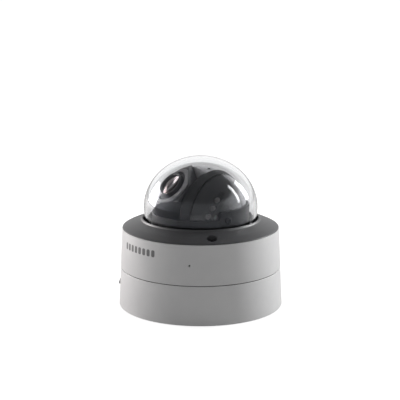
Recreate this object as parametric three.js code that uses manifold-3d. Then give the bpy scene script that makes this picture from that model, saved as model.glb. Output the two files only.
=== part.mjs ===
// Vandal-resistant dome camera with a motorised zoom lens, standing on its mounting plate with the clear
// dome up. Millimetres, +Z up. The origin is the centre of the mounting plate's underside, and -Y is the
// front. Azimuths are in degrees from -Y, positive towards +X.
import * as THREE from "three";
import { mergeVertices } from "three/addons/utils/BufferGeometryUtils.js";
import Module from "manifold-3d";

const wasm = await Module();
wasm.setup();

// ---------------------------------------------------------------- driving dimensions
const GAP = 0.3; // between pieces that touch
const HOLE_CLEARANCE = 0.4; // screw shank to its hole, on the radius

// Heights of the stack, from the mounting face up to the eyeball.
const PLATE_THICK = 2.0;
const FLOOR_THICK = 3.0;
const WIRING_SPACE = 18.7; // floor to main board
const BOARD_THICK = 1.6;
const CHASSIS_SPACE = 7.9; // main board to chassis plate
const CHASSIS_THICK = 3.0;
const TURNTABLE_THICK = 2.4;
const TURNTABLE_RIM = 2.0; // bearing rim above the turntable
const RETAINER_THICK = 1.5;
const BALL_FLOAT = 1.0; // retainer to the lowest point of the eyeball

// Radii, from the eyeball out to the drum.
const BALL_RADIUS = 43.2;
const COLLAR_CLEARANCE = 0.6; // eyeball to liner collar
const COLLAR_WALL = 1.5;
const DOME_AIR = 4.6; // liner collar to dome
const DOME_WALL = 3.0;
const DOME_TAPER = 0.9; // how much narrower the dome is at its mouth
const RING_CLEARANCE = 0.6; // dome to trim ring
const RING_WIDTH = 19.4; // trim ring, from its opening to its outer edge
const DRUM_FLARE = 3.5; // how much wider the drum is at its foot
const DRUM_WALL = 3.0;
const COVER_WALL = 2.5;

// Dome and ring heights.
const EQUATOR_LIFT = 3.4; // dome's widest circle above the eyeball centre
const SKIRT_HEIGHT = 10.6; // trim ring to the dome's widest circle
const CROWN_AIR = 5.4; // eyeball to the dome's crown
const RING_RISE = 7.8; // drum rim to the top of the trim ring
const BEAD_HEIGHT = 1.7; // raised bead round the dome
const RING_SPIGOT = 2.7; // how far the ring drops into the drum
const LEDGE_THICK = 2.2;
const RING_STEP = 0.2; // drum rim outside the trim ring
const FLANGE_WIDTH = 5.0; // dome flange outside the trim ring's opening
const SCREW_SHIFT = 0.9; // ring screws inwards from the middle of the ring's clamping width
const CASE_SCREW_STEP = 2.8; // case screws inside the ring screws

// Eyeball.
const LENS_AZIMUTH = -58;
const LENS_ELEVATION = 42.5;
const LENS_OFFSET = -4.5; // lens axis from the eyeball centre, along the tilt axis
const BEZEL_LEVEL = 38.6; // bezel face from the eyeball centre, along the lens axis
const BEZEL_THICK = 1.3;
const BEZEL_RADIUS = 21.3;
const BEZEL_BORE = 15.9;
const FLAT_DISTANCE = 18.6; // the shroud's three flat sides from the lens axis
const FLAT_ANGLES = [47, 167, -73];
const SHELL_WALL = 2.0;
const BRACKET_RECESS = 1.4; // tilt bracket below the ball's surface
const SPLIT_ANGLE = 43.6; // the bracket's front face, turned from the bezel's
const SPLIT_LEVEL = 3.4;
const IR_TURN_BACK = 12.5; // infrared segment's axis, turned from the tilt axis
const IR_TURN_UP = 9;
const IR_INNER_LEVEL = 9.5; // planes across the infrared segment's axis: its neck, its band and its window
const IR_BAND_LEVEL = 15.3;
const IR_WINDOW_LEVEL = 21.0;
const IR_FLOOR = 1.8;

// Fasteners and small parts.
const CABLE_HOLE = 14.0;
const CABLE_RADIUS = 5.0;
const SCREW_SHANK = 1.3;
const SCREW_BORE = SCREW_SHANK + HOLE_CLEARANCE;
const PIVOT_SHANK = 2.0;
const PARTING_DROP = 0.7; // parting line below the chassis plate's top
const PARTING_OPEN = 0.6; // width of the parting line
const RING_SCREW_AZIMUTH = 8.7;
const MIC_AZIMUTH = -7.65;
const MIC_HEIGHT = 54.2;
const SIDE_SCREW_AZIMUTH = -94;
const SIDE_SCREW_HEIGHT = 18;

// Facets round a turned piece: large shells, medium rings and small fasteners.
const LARGE = 40;
const MEDIUM = 24;
const SMALL = 8;

// ---------------------------------------------------------------- derived levels and radii
const plateTop = PLATE_THICK;
const floorBottom = plateTop + GAP;
const floorTop = floorBottom + FLOOR_THICK;
const boardBottom = floorTop + WIRING_SPACE;
const boardTop = boardBottom + BOARD_THICK;
const chassisBottom = boardTop + CHASSIS_SPACE;
const chassisTop = chassisBottom + CHASSIS_THICK;
const turntableBottom = chassisTop + GAP;
const turntableTop = turntableBottom + TURNTABLE_THICK;
const rimTop = turntableTop + TURNTABLE_RIM;
const hubTop = rimTop + GAP;
const retainerBottom = hubTop + GAP;
const retainerTop = retainerBottom + RETAINER_THICK;
const ballCentre = retainerTop + BALL_FLOAT + BALL_RADIUS;
const equator = ballCentre + EQUATOR_LIFT;
const ringTop = equator - SKIRT_HEIGHT;
const drumTop = ringTop - RING_RISE;
const parting = chassisTop - PARTING_DROP;
const spigotBottom = drumTop - RING_SPIGOT;
const ledgeTop = spigotBottom - GAP;

const collarInner = BALL_RADIUS + COLLAR_CLEARANCE;
const collarOuter = collarInner + COLLAR_WALL;
const domeRadius = collarOuter + DOME_AIR + DOME_WALL;
const mouthRadius = domeRadius - DOME_TAPER;
const ringInner = domeRadius + RING_CLEARANCE;
const ringOuter = ringInner + RING_WIDTH;
const drumTopRadius = ringOuter + RING_STEP;
const drumFootRadius = drumTopRadius + DRUM_FLARE;
const crown = ballCentre + BALL_RADIUS + CROWN_AIR + DOME_WALL;
const flangeRadius = ringInner + FLANGE_WIDTH;
const ringScrewRadius = (flangeRadius + ringOuter) / 2 - SCREW_SHIFT;
const caseScrewRadius = ringScrewRadius - CASE_SCREW_STEP;

// The drum's outside radius at a height: a straight cone from foot to rim.
const drumRadius = (z) => drumFootRadius - (DRUM_FLARE * z) / drumTop;

// ---------------------------------------------------------------- shape helpers
const radians = THREE.MathUtils.degToRad;

// A point at an azimuth, a radius and a height.
function polar(azimuth, radius, z = 0) {
  const a = radians(azimuth);
  return new THREE.Vector3(radius * Math.sin(a), -radius * Math.cos(a), z);
}

// A profile of [radius, height] points turned about Z. It starts and ends on the axis, or closes on itself.
function turned(points, facets = LARGE) {
  const profile = points.map(([r, z]) => new THREE.Vector2(r, z));
  if (THREE.ShapeUtils.area(profile) < 0) profile.reverse();
  if (points[0][0] > 0) profile.push(profile[0].clone());
  return new THREE.LatheGeometry(profile, facets).rotateX(Math.PI / 2);
}

function rod(radius, low, high, facets = SMALL) {
  return turned([[0, low], [radius, low], [radius, high], [0, high]], facets);
}

function washer(inner, outer, low, high, facets = MEDIUM) {
  return turned([[inner, low], [outer, low], [outer, high], [inner, high]], facets);
}

// A box of a size, standing on a height.
function block(width, depth, low, high) {
  return new THREE.BoxGeometry(width, depth, high - low).translate(0, 0, (low + high) / 2);
}

function moved(geometry, place) {
  return geometry.translate(place.x, place.y, place.z);
}

// A wedge of a disc between two azimuths.
function sector(radius, from, to, low, high) {
  const shape = new THREE.Shape();
  shape.moveTo(0, 0);
  shape.absarc(0, 0, radius, radians(from - 90), radians(to - 90), false);
  const settings = { depth: high - low, bevelEnabled: false, curveSegments: 16 };
  return new THREE.ExtrudeGeometry(shape, settings).translate(0, 0, low);
}

// Everything past a plane, as a box large enough for the eyeball.
function beyond(normal, distance) {
  const side = 6 * BALL_RADIUS;
  const box = new THREE.BoxGeometry(side, side, side).translate(0, 0, side / 2 + distance);
  const turn = new THREE.Quaternion().setFromUnitVectors(new THREE.Vector3(0, 0, 1), normal);
  return box.applyQuaternion(turn);
}

function solidOf(geometry) {
  const bare = geometry.clone();
  bare.deleteAttribute("normal");
  bare.deleteAttribute("uv");
  const merged = mergeVertices(bare, 1e-4);
  return new wasm.Manifold(
    new wasm.Mesh({
      numProp: 3,
      vertProperties: merged.getAttribute("position").array,
      triVerts: new Uint32Array(merged.index.array),
    }),
  );
}

function geometryOf(solid) {
  const mesh = solid.getMesh();
  const geometry = new THREE.BufferGeometry();
  geometry.setAttribute("position", new THREE.BufferAttribute(mesh.vertProperties, 3));
  geometry.setIndex(new THREE.BufferAttribute(mesh.triVerts, 1));
  return geometry;
}

function cut(geometry, ...tools) {
  let solid = solidOf(geometry);
  for (const tool of tools) solid = solid.subtract(solidOf(tool));
  return geometryOf(solid);
}

function joined(geometry, ...others) {
  let solid = solidOf(geometry);
  for (const other of others) solid = solid.add(solidOf(other));
  return geometryOf(solid);
}

// ---------------------------------------------------------------- finishes
const finish = (color, roughness, metalness = 0) =>
  new THREE.MeshStandardMaterial({ color, roughness, metalness, flatShading: true });
const WHITE_PAINT = finish(0xd9d9d8, 0.5);
const CHARCOAL = finish(0x3c3d40, 0.55);
const BLACK_PLASTIC = finish(0x161718, 0.6);
const GREY_PLASTIC = finish(0x8d8f94, 0.5);
const LIGHT_CASTING = finish(0xb9babd, 0.45, 0.4);
const CLEAR_DOME = finish(0xe8eef2, 0.05);
const SMOKED_WINDOW = finish(0x17181a, 0.1);
const STEEL = finish(0x9a9da1, 0.35, 1);
const RUBBER = finish(0x1c1c1c, 0.9);
const BOARD_GREEN = finish(0x1f5a3a, 0.5);
const LENS_GLASS = finish(0x30343c, 0.03);
const LAMP_DIE = finish(0xcfc9a8, 0.3);

const camera = new THREE.Group();
function piece(group, name, geometry, material) {
  const mesh = new THREE.Mesh(geometry, material);
  mesh.name = name;
  group.add(mesh);
  return mesh;
}

// A screw standing on its head's underside at z = 0, head up, with a six-sided drive recess.
function screw(headRadius, headHeight, shankLength) {
  const shaft = rod(SCREW_SHANK, -shankLength, headHeight / 2);
  const recess = rod(headRadius * 0.45, headHeight * 0.45, headHeight + 1, 6);
  return cut(joined(rod(headRadius, 0, headHeight, 12), shaft), recess);
}

// ---------------------------------------------------------------- mounting plate, drum and its seals
const PLATE_SLOT = 2.4;
const PLATE_SLOT_CIRCLE = 50;
const PLATE_INSET = 0.8;
const plateRadius = drumFootRadius - DRUM_WALL - PLATE_INSET;
const plateSlots = [45, 135, 225, 315].map((azimuth) => {
  const slot = block(PLATE_SLOT * 2, PLATE_SLOT * 4, -1, PLATE_THICK + 1);
  return moved(slot, polar(azimuth, PLATE_SLOT_CIRCLE));
});
const plateDisc = washer(CABLE_HOLE + 1, plateRadius, 0, PLATE_THICK, LARGE);
piece(camera, "mounting_plate", cut(plateDisc, ...plateSlots), STEEL);

// Lower drum: an open cup whose floor carries the bosses. Its rim is thicker, for the gasket groove.
const RIM_WIDTH = 5.3;
const RIM_DEPTH = 7;
const FOOT_BEVEL = 0.8;
const GROOVE = { inset: 1.1, width: 1.8, depth: 1.6 };
const baseTop = parting - PARTING_OPEN / 2;
const grooveOuter = drumRadius(baseTop) - GROOVE.inset;
const grooveInner = grooveOuter - GROOVE.width;
const grooveFloor = baseTop - GROOVE.depth;
const baseProfile = [
  [CABLE_HOLE, floorBottom],
  [drumFootRadius - DRUM_WALL, floorBottom],
  [drumFootRadius - DRUM_WALL, 0],
  [drumFootRadius - FOOT_BEVEL, 0],
  [drumRadius(FOOT_BEVEL), FOOT_BEVEL],
  [drumRadius(baseTop), baseTop],
  [grooveOuter, baseTop],
  [grooveOuter, grooveFloor],
  [grooveInner, grooveFloor],
  [grooveInner, baseTop],
  [drumRadius(baseTop) - RIM_WIDTH, baseTop],
  [drumRadius(baseTop) - RIM_WIDTH, baseTop - RIM_DEPTH],
  [drumRadius(baseTop) - DRUM_WALL, baseTop - RIM_DEPTH - 3],
  [drumRadius(floorTop) - DRUM_WALL, floorTop],
  [CABLE_HOLE, floorTop],
];
const CASE_SCREW = { head: 3.6, height: 2.6, length: 20 };
const CASE_BOSS = { radius: 5, height: 8.7 };
const caseBossTop = floorTop + CASE_BOSS.height;
const caseHeadTop = floorBottom + GAP + CASE_SCREW.height;
const CHASSIS_POST = 4.0;
const CHASSIS_SCREW = { head: 3.0, height: 1.6, length: 10 };
const chassisScrewRadius = collarOuter + 5;
const thirds = (first) => [0, 1, 2].map((i) => first + 120 * i);
const caseScrewPlaces = thirds(RING_SCREW_AZIMUTH + 60).map((a) => polar(a, caseScrewRadius));
const chassisScrewPlaces = thirds(60).map((a) => polar(a, chassisScrewRadius));
const sideScrewHole = rod(SCREW_BORE, 0, 20)
  .rotateX(Math.PI / 2)
  .rotateZ(radians(SIDE_SCREW_AZIMUTH))
  .translate(...polar(SIDE_SCREW_AZIMUTH, drumFootRadius - 10, SIDE_SCREW_HEIGHT).toArray());
const baseBosses = [
  ...caseScrewPlaces.map((p) => moved(rod(CASE_BOSS.radius, floorTop - 1, caseBossTop, 16), p)),
  ...chassisScrewPlaces.map((p) => moved(rod(CHASSIS_POST, floorTop - 1, chassisBottom - GAP), p)),
];
const baseHoles = [
  ...caseScrewPlaces.map((p) => moved(rod(CASE_SCREW.head + HOLE_CLEARANCE, 0, caseHeadTop + GAP), p)),
  ...caseScrewPlaces.map((p) => moved(rod(SCREW_BORE, 0, caseBossTop + 1), p)),
  ...chassisScrewPlaces.map((p) =>
    moved(rod(SCREW_BORE, chassisBottom - CHASSIS_SCREW.length, chassisBottom), p),
  ),
];
const baseCup = joined(turned(baseProfile), ...baseBosses);
piece(camera, "base_housing", cut(baseCup, ...baseHoles, sideScrewHole), WHITE_PAINT);

// Pan-head screw on the side of the lower drum, lying along its radius.
const SIDE_HEAD = { radius: 2.7, crown: 1.7, side: 0.9, height: 1.8, recess: 1.1, length: 9 };
const sideHeadProfile = [
  [0, 0],
  [SIDE_HEAD.radius, 0],
  [SIDE_HEAD.radius, SIDE_HEAD.side],
  [SIDE_HEAD.crown, SIDE_HEAD.height],
  [0, SIDE_HEAD.height],
];
const sideScrew = cut(
  joined(turned(sideHeadProfile, 16), rod(SCREW_SHANK, -SIDE_HEAD.length, SIDE_HEAD.side / 2)),
  rod(SIDE_HEAD.recess, SIDE_HEAD.side, SIDE_HEAD.height + 1, 6),
);
const sideScrewMesh = piece(camera, "side_screw", sideScrew, STEEL);
sideScrewMesh.quaternion.setFromUnitVectors(new THREE.Vector3(0, 0, 1), polar(SIDE_SCREW_AZIMUTH, 1));
sideScrewMesh.position.copy(
  polar(SIDE_SCREW_AZIMUTH, drumRadius(SIDE_SCREW_HEIGHT) + GAP, SIDE_SCREW_HEIGHT),
);

// Rubber grommet that lines the cable hole, with a lip above the floor and one in the plate's hole.
const GROMMET = { low: 0.5, lip: 3, lipThick: 2, neck: 4 };
const grommetProfile = [
  [CABLE_RADIUS, GROMMET.low],
  [CABLE_HOLE - 1, GROMMET.low],
  [CABLE_HOLE - GAP, floorBottom],
  [CABLE_HOLE - GAP, floorTop + GAP],
  [CABLE_HOLE + GROMMET.lip, floorTop + GAP],
  [CABLE_HOLE + GROMMET.lip, floorTop + GAP + GROMMET.lipThick],
  [CABLE_RADIUS, floorTop + GROMMET.neck],
];
piece(camera, "cable_grommet", turned(grommetProfile, MEDIUM), RUBBER);

const coverBottom = parting + PARTING_OPEN / 2;
const gasketOuter = grooveOuter - GAP;
const gasketInner = grooveInner + GAP;
const gasket = washer(gasketInner, gasketOuter, grooveFloor + GAP, coverBottom - GAP, LARGE);
piece(camera, "cover_gasket", gasket, RUBBER);

// Upper drum: a tapering wall with a ledge inside its rim. Three pillars hang down to the base bosses and
// three short bosses take the ring screws.
const ledgeInner = domeRadius - DOME_WALL + 2 * GAP;
const coverInner = (z) => drumRadius(z) - COVER_WALL;
const coverProfile = [
  [drumRadius(coverBottom), coverBottom],
  [drumTopRadius, drumTop],
  [coverInner(drumTop), drumTop],
  [coverInner(drumTop), ledgeTop],
  [ledgeInner, ledgeTop],
  [ledgeInner, ledgeTop - LEDGE_THICK],
  [coverInner(ledgeTop), ledgeTop - LEDGE_THICK],
  [coverInner(coverBottom), coverBottom],
];
const RING_SCREW = { head: 3.6, height: 2.5, length: 12 };
const RING_BOSS = 4.2;
const PILLAR = 4.5;
const ringScrewPlaces = thirds(RING_SCREW_AZIMUTH).map((a) => polar(a, ringScrewRadius));
const ringBossBottom = ledgeTop - LEDGE_THICK - RING_SCREW.length - 2;
const pillarBottom = caseBossTop + GAP;
const ledgeMiddle = ledgeTop - LEDGE_THICK / 2;
const MIC_HOLE = 0.9;
const micHole = rod(MIC_HOLE, 0, 4 * COVER_WALL)
  .rotateX(Math.PI / 2)
  .rotateZ(radians(MIC_AZIMUTH))
  .translate(...polar(MIC_AZIMUTH, drumRadius(MIC_HEIGHT) - 3 * COVER_WALL, MIC_HEIGHT).toArray());
const coverShell = joined(
  turned(coverProfile),
  ...ringScrewPlaces.map((p) => moved(rod(RING_BOSS, ringBossBottom, ledgeMiddle), p)),
  ...caseScrewPlaces.map((p) => moved(rod(PILLAR, pillarBottom, ledgeMiddle), p)),
);
const coverHoles = [
  ...ringScrewPlaces.map((p) => moved(rod(SCREW_BORE, ringBossBottom + 2, drumTop), p)),
  ...caseScrewPlaces.map((p) =>
    moved(rod(SCREW_BORE, pillarBottom - 1, floorBottom + CASE_SCREW.length + 6), p),
  ),
];
piece(camera, "upper_cover", cut(coverShell, ...coverHoles, micHole), WHITE_PAINT);

const MIC = { radius: 3, length: 3, inset: 0.6 };
const micMesh = piece(camera, "microphone", rod(MIC.radius, -MIC.length, 0, 16), BLACK_PLASTIC);
micMesh.quaternion.setFromUnitVectors(new THREE.Vector3(0, 0, 1), polar(MIC_AZIMUTH, 1));
micMesh.position.copy(polar(MIC_AZIMUTH, coverInner(MIC_HEIGHT) - MIC.inset, MIC_HEIGHT));

caseScrewPlaces.forEach((place, i) => {
  const { head, height, length } = CASE_SCREW;
  const mesh = piece(camera, `case_screw_${i + 1}`, screw(head, height, length), STEEL);
  mesh.rotation.x = Math.PI;
  mesh.position.set(place.x, place.y, caseHeadTop);
});

// ---------------------------------------------------------------- dome, its seal and the trim ring
const SEAL_THICK = 1.5;
const FLANGE_THICK = 2.4;
const sealBottom = ledgeTop + GAP;
const flangeBottom = sealBottom + SEAL_THICK + GAP;
const flangeTop = flangeBottom + FLANGE_THICK;
const seal = washer(ledgeInner + 1, flangeRadius - 0.5, sealBottom, sealBottom + SEAL_THICK, LARGE);
piece(camera, "dome_seal", seal, RUBBER);

// The dome is a cast of two half ellipses, outside and inside, on a straight skirt that ends in a flange.
const CROWN_STEPS = 7;
function quarterEllipse(radius, height) {
  return Array.from({ length: CROWN_STEPS + 1 }, (_, i) => {
    const angle = (Math.PI / 2) * (i / CROWN_STEPS);
    return [i === CROWN_STEPS ? 0 : radius * Math.cos(angle), equator + height * Math.sin(angle)];
  });
}
const domeOutside = quarterEllipse(domeRadius, crown - equator);
const domeInside = quarterEllipse(domeRadius - DOME_WALL, crown - equator - DOME_WALL);
const domeProfile = [
  ...domeInside.reverse(),
  [mouthRadius - DOME_WALL, flangeBottom],
  [flangeRadius, flangeBottom],
  [flangeRadius, flangeTop],
  [mouthRadius, flangeTop],
  [mouthRadius, ringTop],
  ...domeOutside,
];
piece(camera, "dome_bubble", turned(domeProfile), CLEAR_DOME);

// Trim ring: a sloping collar over the dome's flange, with a raised bead at its opening.
const ringEdge = drumTop + GAP;
const clampLevel = flangeTop + GAP;
const ringProfile = [
  [ringInner, clampLevel],
  [ringInner, ringTop + BEAD_HEIGHT - 0.5],
  [ringInner + 0.6, ringTop + BEAD_HEIGHT],
  [ringInner + 1.6, ringTop + BEAD_HEIGHT - 0.3],
  [ringInner + 2.1, ringTop - 0.1],
  [ringOuter - 8, ringEdge + 4.15],
  [ringOuter - 1.6, ringEdge + 1.3],
  [ringOuter - 0.3, ringEdge + 0.6],
  [ringOuter, ringEdge],
  [coverInner(drumTop) - GAP, ringEdge],
  [coverInner(drumTop) - GAP, spigotBottom],
  [flangeRadius + 0.6, spigotBottom],
  [flangeRadius + 0.6, clampLevel],
];
const COUNTERBORE = 4.75;
const SCREW_FLOOR = 2.0;
const ringHoles = [
  ...ringScrewPlaces.map((p) => moved(rod(COUNTERBORE, spigotBottom + SCREW_FLOOR, ringTop + 2, 20), p)),
  ...ringScrewPlaces.map((p) => moved(rod(SCREW_BORE, spigotBottom - 1, ringTop), p)),
];
piece(camera, "trim_ring", cut(turned(ringProfile), ...ringHoles), CHARCOAL);

ringScrewPlaces.forEach((place, i) => {
  const { head, height, length } = RING_SCREW;
  const mesh = piece(camera, `ring_screw_${i + 1}`, screw(head, height, length), STEEL);
  mesh.position.set(place.x, place.y, spigotBottom + SCREW_FLOOR + GAP);
});

// ---------------------------------------------------------------- chassis plate and electronics
const HUB_BORE = 13;
const HUB_RADIUS = 17;
const BOARD_POST = 2.6;
const BOARD_SCREW = { head: 2.8, height: 1.6, length: 5.5 };
const boardRadius = chassisScrewRadius - CHASSIS_POST - 2.3;
const boardPostRadius = boardRadius - 8;
const boardPostPlaces = thirds(0).map((a) => polar(a, boardPostRadius));
const chassisProfile = [
  [HUB_BORE, chassisBottom],
  [chassisScrewRadius + 5, chassisBottom],
  [chassisScrewRadius + 5, chassisTop],
  [HUB_RADIUS, chassisTop],
  [HUB_RADIUS, hubTop],
  [HUB_BORE, hubTop],
];
const chassisBody = joined(
  turned(chassisProfile, MEDIUM),
  ...boardPostPlaces.map((p) => moved(rod(BOARD_POST, boardTop + GAP, chassisBottom + 1), p)),
);
const chassisHoles = [
  ...chassisScrewPlaces.map((p) => moved(rod(SCREW_BORE, chassisBottom - 1, chassisTop + 1), p)),
  ...boardPostPlaces.map((p) => moved(rod(SCREW_SHANK + GAP, boardTop - 1, chassisBottom), p)),
];
piece(camera, "chassis_plate", cut(chassisBody, ...chassisHoles), STEEL);
chassisScrewPlaces.forEach((place, i) => {
  const { head, height, length } = CHASSIS_SCREW;
  const mesh = piece(camera, `chassis_screw_${i + 1}`, screw(head, height, length), STEEL);
  mesh.position.set(place.x, place.y, chassisTop + GAP);
});

const boardHole = rod(SCREW_SHANK + GAP, boardBottom - 1, boardTop + 1);
const boardHoles = boardPostPlaces.map((p) => moved(boardHole.clone(), p));
piece(camera, "main_board", cut(rod(boardRadius, boardBottom, boardTop, MEDIUM), ...boardHoles), BOARD_GREEN);
boardPostPlaces.forEach((place, i) => {
  const { head, height, length } = BOARD_SCREW;
  const mesh = piece(camera, `board_screw_${i + 1}`, screw(head, height, length), STEEL);
  mesh.rotation.x = Math.PI;
  mesh.position.set(place.x, place.y, boardBottom - GAP);
});

// Network jack under the board, its mouth facing +X.
const JACK = { x: 22, length: 21, width: 16, height: 13.4, mouth: 12, mouthHeight: 8.4, deep: 15 };
const jackTop = boardBottom - GAP;
const jackLow = jackTop - JACK.height;

const jackMouthLow = jackLow + (JACK.height - JACK.mouthHeight) / 2;
const jackMouth = block(JACK.deep + 2, JACK.mouth, jackMouthLow, jackMouthLow + JACK.mouthHeight)
  .translate(JACK.length / 2 - JACK.deep / 2 + 1, 0, 0);
const jack = cut(block(JACK.length, JACK.width, jackLow, jackTop), jackMouth);
piece(camera, "network_jack", jack, STEEL).position.x = JACK.x;

const TERMINAL = { x: -25, length: 10, width: 11, height: 9, wire: 1.5, wireY: 2.6 };
const terminalWires = [-TERMINAL.wireY, TERMINAL.wireY].map((y) => {
  const hole = rod(TERMINAL.wire, 0, TERMINAL.length).rotateY(-Math.PI / 2);
  return hole.translate(0, y, jackTop - TERMINAL.height / 2);
});
const terminalBody = block(TERMINAL.length, TERMINAL.width, jackTop - TERMINAL.height, jackTop);
const terminal = cut(terminalBody, ...terminalWires);
piece(camera, "power_terminal", terminal, BLACK_PLASTIC).position.x = TERMINAL.x;

// Heat spreader on the processor: a base with upright fins.
const SPREADER = { side: 26, base: 1.6, height: 5.0, fins: 5, fin: 1.6 };
const spreaderLow = boardTop + GAP;
const finPitch = (SPREADER.side - SPREADER.fin) / (SPREADER.fins - 1);
const fins = Array.from({ length: SPREADER.fins }, (_, i) => {
  const { fin: width, side, base, height } = SPREADER;
  const fin = block(width, side, spreaderLow + base / 2, spreaderLow + height);
  return fin.translate(-SPREADER.side / 2 + SPREADER.fin / 2 + i * finPitch, 0, 0);
});
const spreaderBase = block(SPREADER.side, SPREADER.side, spreaderLow, spreaderLow + SPREADER.base);
piece(camera, "heat_spreader", joined(spreaderBase, ...fins), LIGHT_CASTING);

// Card socket and memory card beside the spreader: the card sticks out towards +X.
const CARD = { x: 22, y: 9, length: 15, width: 11, thick: 0.8, out: 3 };
const SOCKET_WALL = 0.8;
const socketLow = boardTop + GAP;
const socketTop = socketLow + CARD.thick + 2 * GAP + 2 * SOCKET_WALL;
const cardLow = socketLow + SOCKET_WALL + GAP;
const slotWidth = CARD.width + 2 * GAP;
const cardSlot = block(CARD.length + 2, slotWidth, socketLow + SOCKET_WALL, socketTop - SOCKET_WALL);
const socketBody = block(CARD.length, slotWidth + 2 * SOCKET_WALL, socketLow, socketTop);
const socket = cut(socketBody, cardSlot.translate(SOCKET_WALL + 1, 0, 0));
piece(camera, "card_socket", socket, STEEL).position.set(CARD.x, CARD.y, 0);
const card = block(CARD.length, CARD.width, cardLow, cardLow + CARD.thick);
piece(camera, "memory_card", card, BLACK_PLASTIC).position.set(CARD.x + CARD.out, CARD.y, 0);

// Reset switch: a small square body with a round button that travels down into it.
const SWITCH = { x: 22, y: -10, side: 6, height: 3.6, button: 1.6, proud: 2.0, depth: 2.2 };
const switchLow = boardTop + GAP;
const switchTop = switchLow + SWITCH.height;
const switchWell = rod(SWITCH.button + GAP, switchTop - SWITCH.depth, switchTop + 1, 16);
const switchBody = cut(block(SWITCH.side, SWITCH.side, switchLow, switchTop), switchWell);
piece(camera, "reset_switch", switchBody, STEEL).position.set(SWITCH.x, SWITCH.y, 0);
const button = rod(SWITCH.button, switchTop - SWITCH.depth + 1, switchTop + SWITCH.proud, 16);
piece(camera, "reset_button", button, BLACK_PLASTIC).position.set(SWITCH.x, SWITCH.y, 0);

// ---------------------------------------------------------------- pan: turntable, retainer and liner collar
const turntableBore = HUB_RADIUS + GAP;
const turntableOuter = collarOuter - GAP;
const BEARING_WIDTH = 3.7;
const COLLAR_FLANGE = { width: 8, thick: 2 };
const turntableProfile = [
  [turntableBore, turntableBottom],
  [turntableOuter, turntableBottom],
  [turntableOuter, turntableTop],
  [turntableBore + BEARING_WIDTH, turntableTop],
  [turntableBore + BEARING_WIDTH, rimTop],
  [turntableBore, rimTop],
];
const COLLAR_SCREW = { head: 2.6, height: 1.4, length: 3.6 };
const collarFlangeLow = turntableTop + GAP;
const collarFlangeTop = collarFlangeLow + COLLAR_FLANGE.thick;
const COLLAR_SCREW_INSET = 0.8;
const collarScrewRadius = collarInner - COLLAR_SCREW.head - COLLAR_SCREW_INSET;
const TILT_AZIMUTH = LENS_AZIMUTH + 90;
const collarScrewPlaces = [LENS_AZIMUTH, LENS_AZIMUTH + 180].map((a) => polar(a, collarScrewRadius));
const turntableHoles = collarScrewPlaces.map((p) =>
  moved(rod(SCREW_SHANK + GAP, turntableBottom - 1, turntableTop + 1), p),
);
piece(camera, "pan_turntable", cut(turned(turntableProfile, MEDIUM), ...turntableHoles), LIGHT_CASTING);
const retainerOuter = turntableBore + BEARING_WIDTH - 0.5;
const retainer = washer(HUB_BORE + GAP, retainerOuter, retainerBottom, retainerTop);
piece(camera, "pan_retainer", retainer, STEEL);

// Liner collar: a black cup wall that hides the works. It is lower in front of the lens, and its two high
// sides hold the tilt pivots.
const COLLAR_RISE = 8.0; // high side above the eyeball centre
const COLLAR_NOTCH = 0.5; // low side above the eyeball centre
const NOTCH_HALF = 80;
const collarTop = ballCentre + COLLAR_RISE;
const collarProfile = [
  [collarInner - COLLAR_FLANGE.width, collarFlangeLow],
  [collarOuter, collarFlangeLow],
  [collarOuter, collarTop],
  [collarInner, collarTop],
  [collarInner, collarFlangeTop],
  [collarInner - COLLAR_FLANGE.width, collarFlangeTop],
];
const notch = sector(
  collarOuter * 2,
  LENS_AZIMUTH - NOTCH_HALF,
  LENS_AZIMUTH + NOTCH_HALF,
  ballCentre + COLLAR_NOTCH,
  collarTop + 1,
);
const pivotBore = rod(PIVOT_SHANK + GAP, -2 * BALL_RADIUS, 2 * BALL_RADIUS)
  .rotateX(Math.PI / 2)
  .rotateZ(radians(TILT_AZIMUTH))
  .translate(0, 0, ballCentre);
const collarHoles = collarScrewPlaces.map((p) =>
  moved(rod(SCREW_SHANK + GAP, collarFlangeLow - 1, collarFlangeTop + 1), p),
);
piece(camera, "liner_collar", cut(turned(collarProfile), notch, pivotBore, ...collarHoles), BLACK_PLASTIC);
collarScrewPlaces.forEach((place, i) => {
  const { head, height, length } = COLLAR_SCREW;
  const mesh = piece(camera, `collar_screw_${i + 1}`, screw(head, height, length), STEEL);
  mesh.position.set(place.x, place.y, collarFlangeTop + GAP);
});

// ---------------------------------------------------------------- eyeball: tilts about its own X axis
// Inside this group X is the tilt axis, Z the lens direction and Y the top of the picture.
const lensRise = radians(LENS_ELEVATION);
const lensDirection = polar(LENS_AZIMUTH, Math.cos(lensRise), Math.sin(lensRise));
const tiltDirection = polar(TILT_AZIMUTH, 1);
const pictureUp = new THREE.Vector3().crossVectors(lensDirection, tiltDirection);
const eyeball = new THREE.Group();
eyeball.quaternion.setFromRotationMatrix(
  new THREE.Matrix4().makeBasis(tiltDirection, pictureUp, lensDirection),
);
eyeball.position.z = ballCentre;
camera.add(eyeball);

const FORWARD = new THREE.Vector3(0, 0, 1);
const irTurn = new THREE.Euler(0, radians(IR_TURN_BACK), radians(IR_TURN_UP), "YZX");
const irAxis = new THREE.Vector3(1, 0, 0).applyEuler(irTurn);
const splitAxis = new THREE.Vector3(0, -Math.sin(radians(SPLIT_ANGLE)), Math.cos(radians(SPLIT_ANGLE)));
const opposite = (direction) => direction.clone().negate();
const ball = (radius) => new THREE.SphereGeometry(radius, 28, 14);
// The three flat sides, each as everything past its plane.
const flats = (distance) =>
  FLAT_ANGLES.map((angle) => {
    const normal = new THREE.Vector3(Math.cos(radians(angle)), Math.sin(radians(angle)), 0);
    return beyond(normal, distance + LENS_OFFSET * normal.x);
  });

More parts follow.
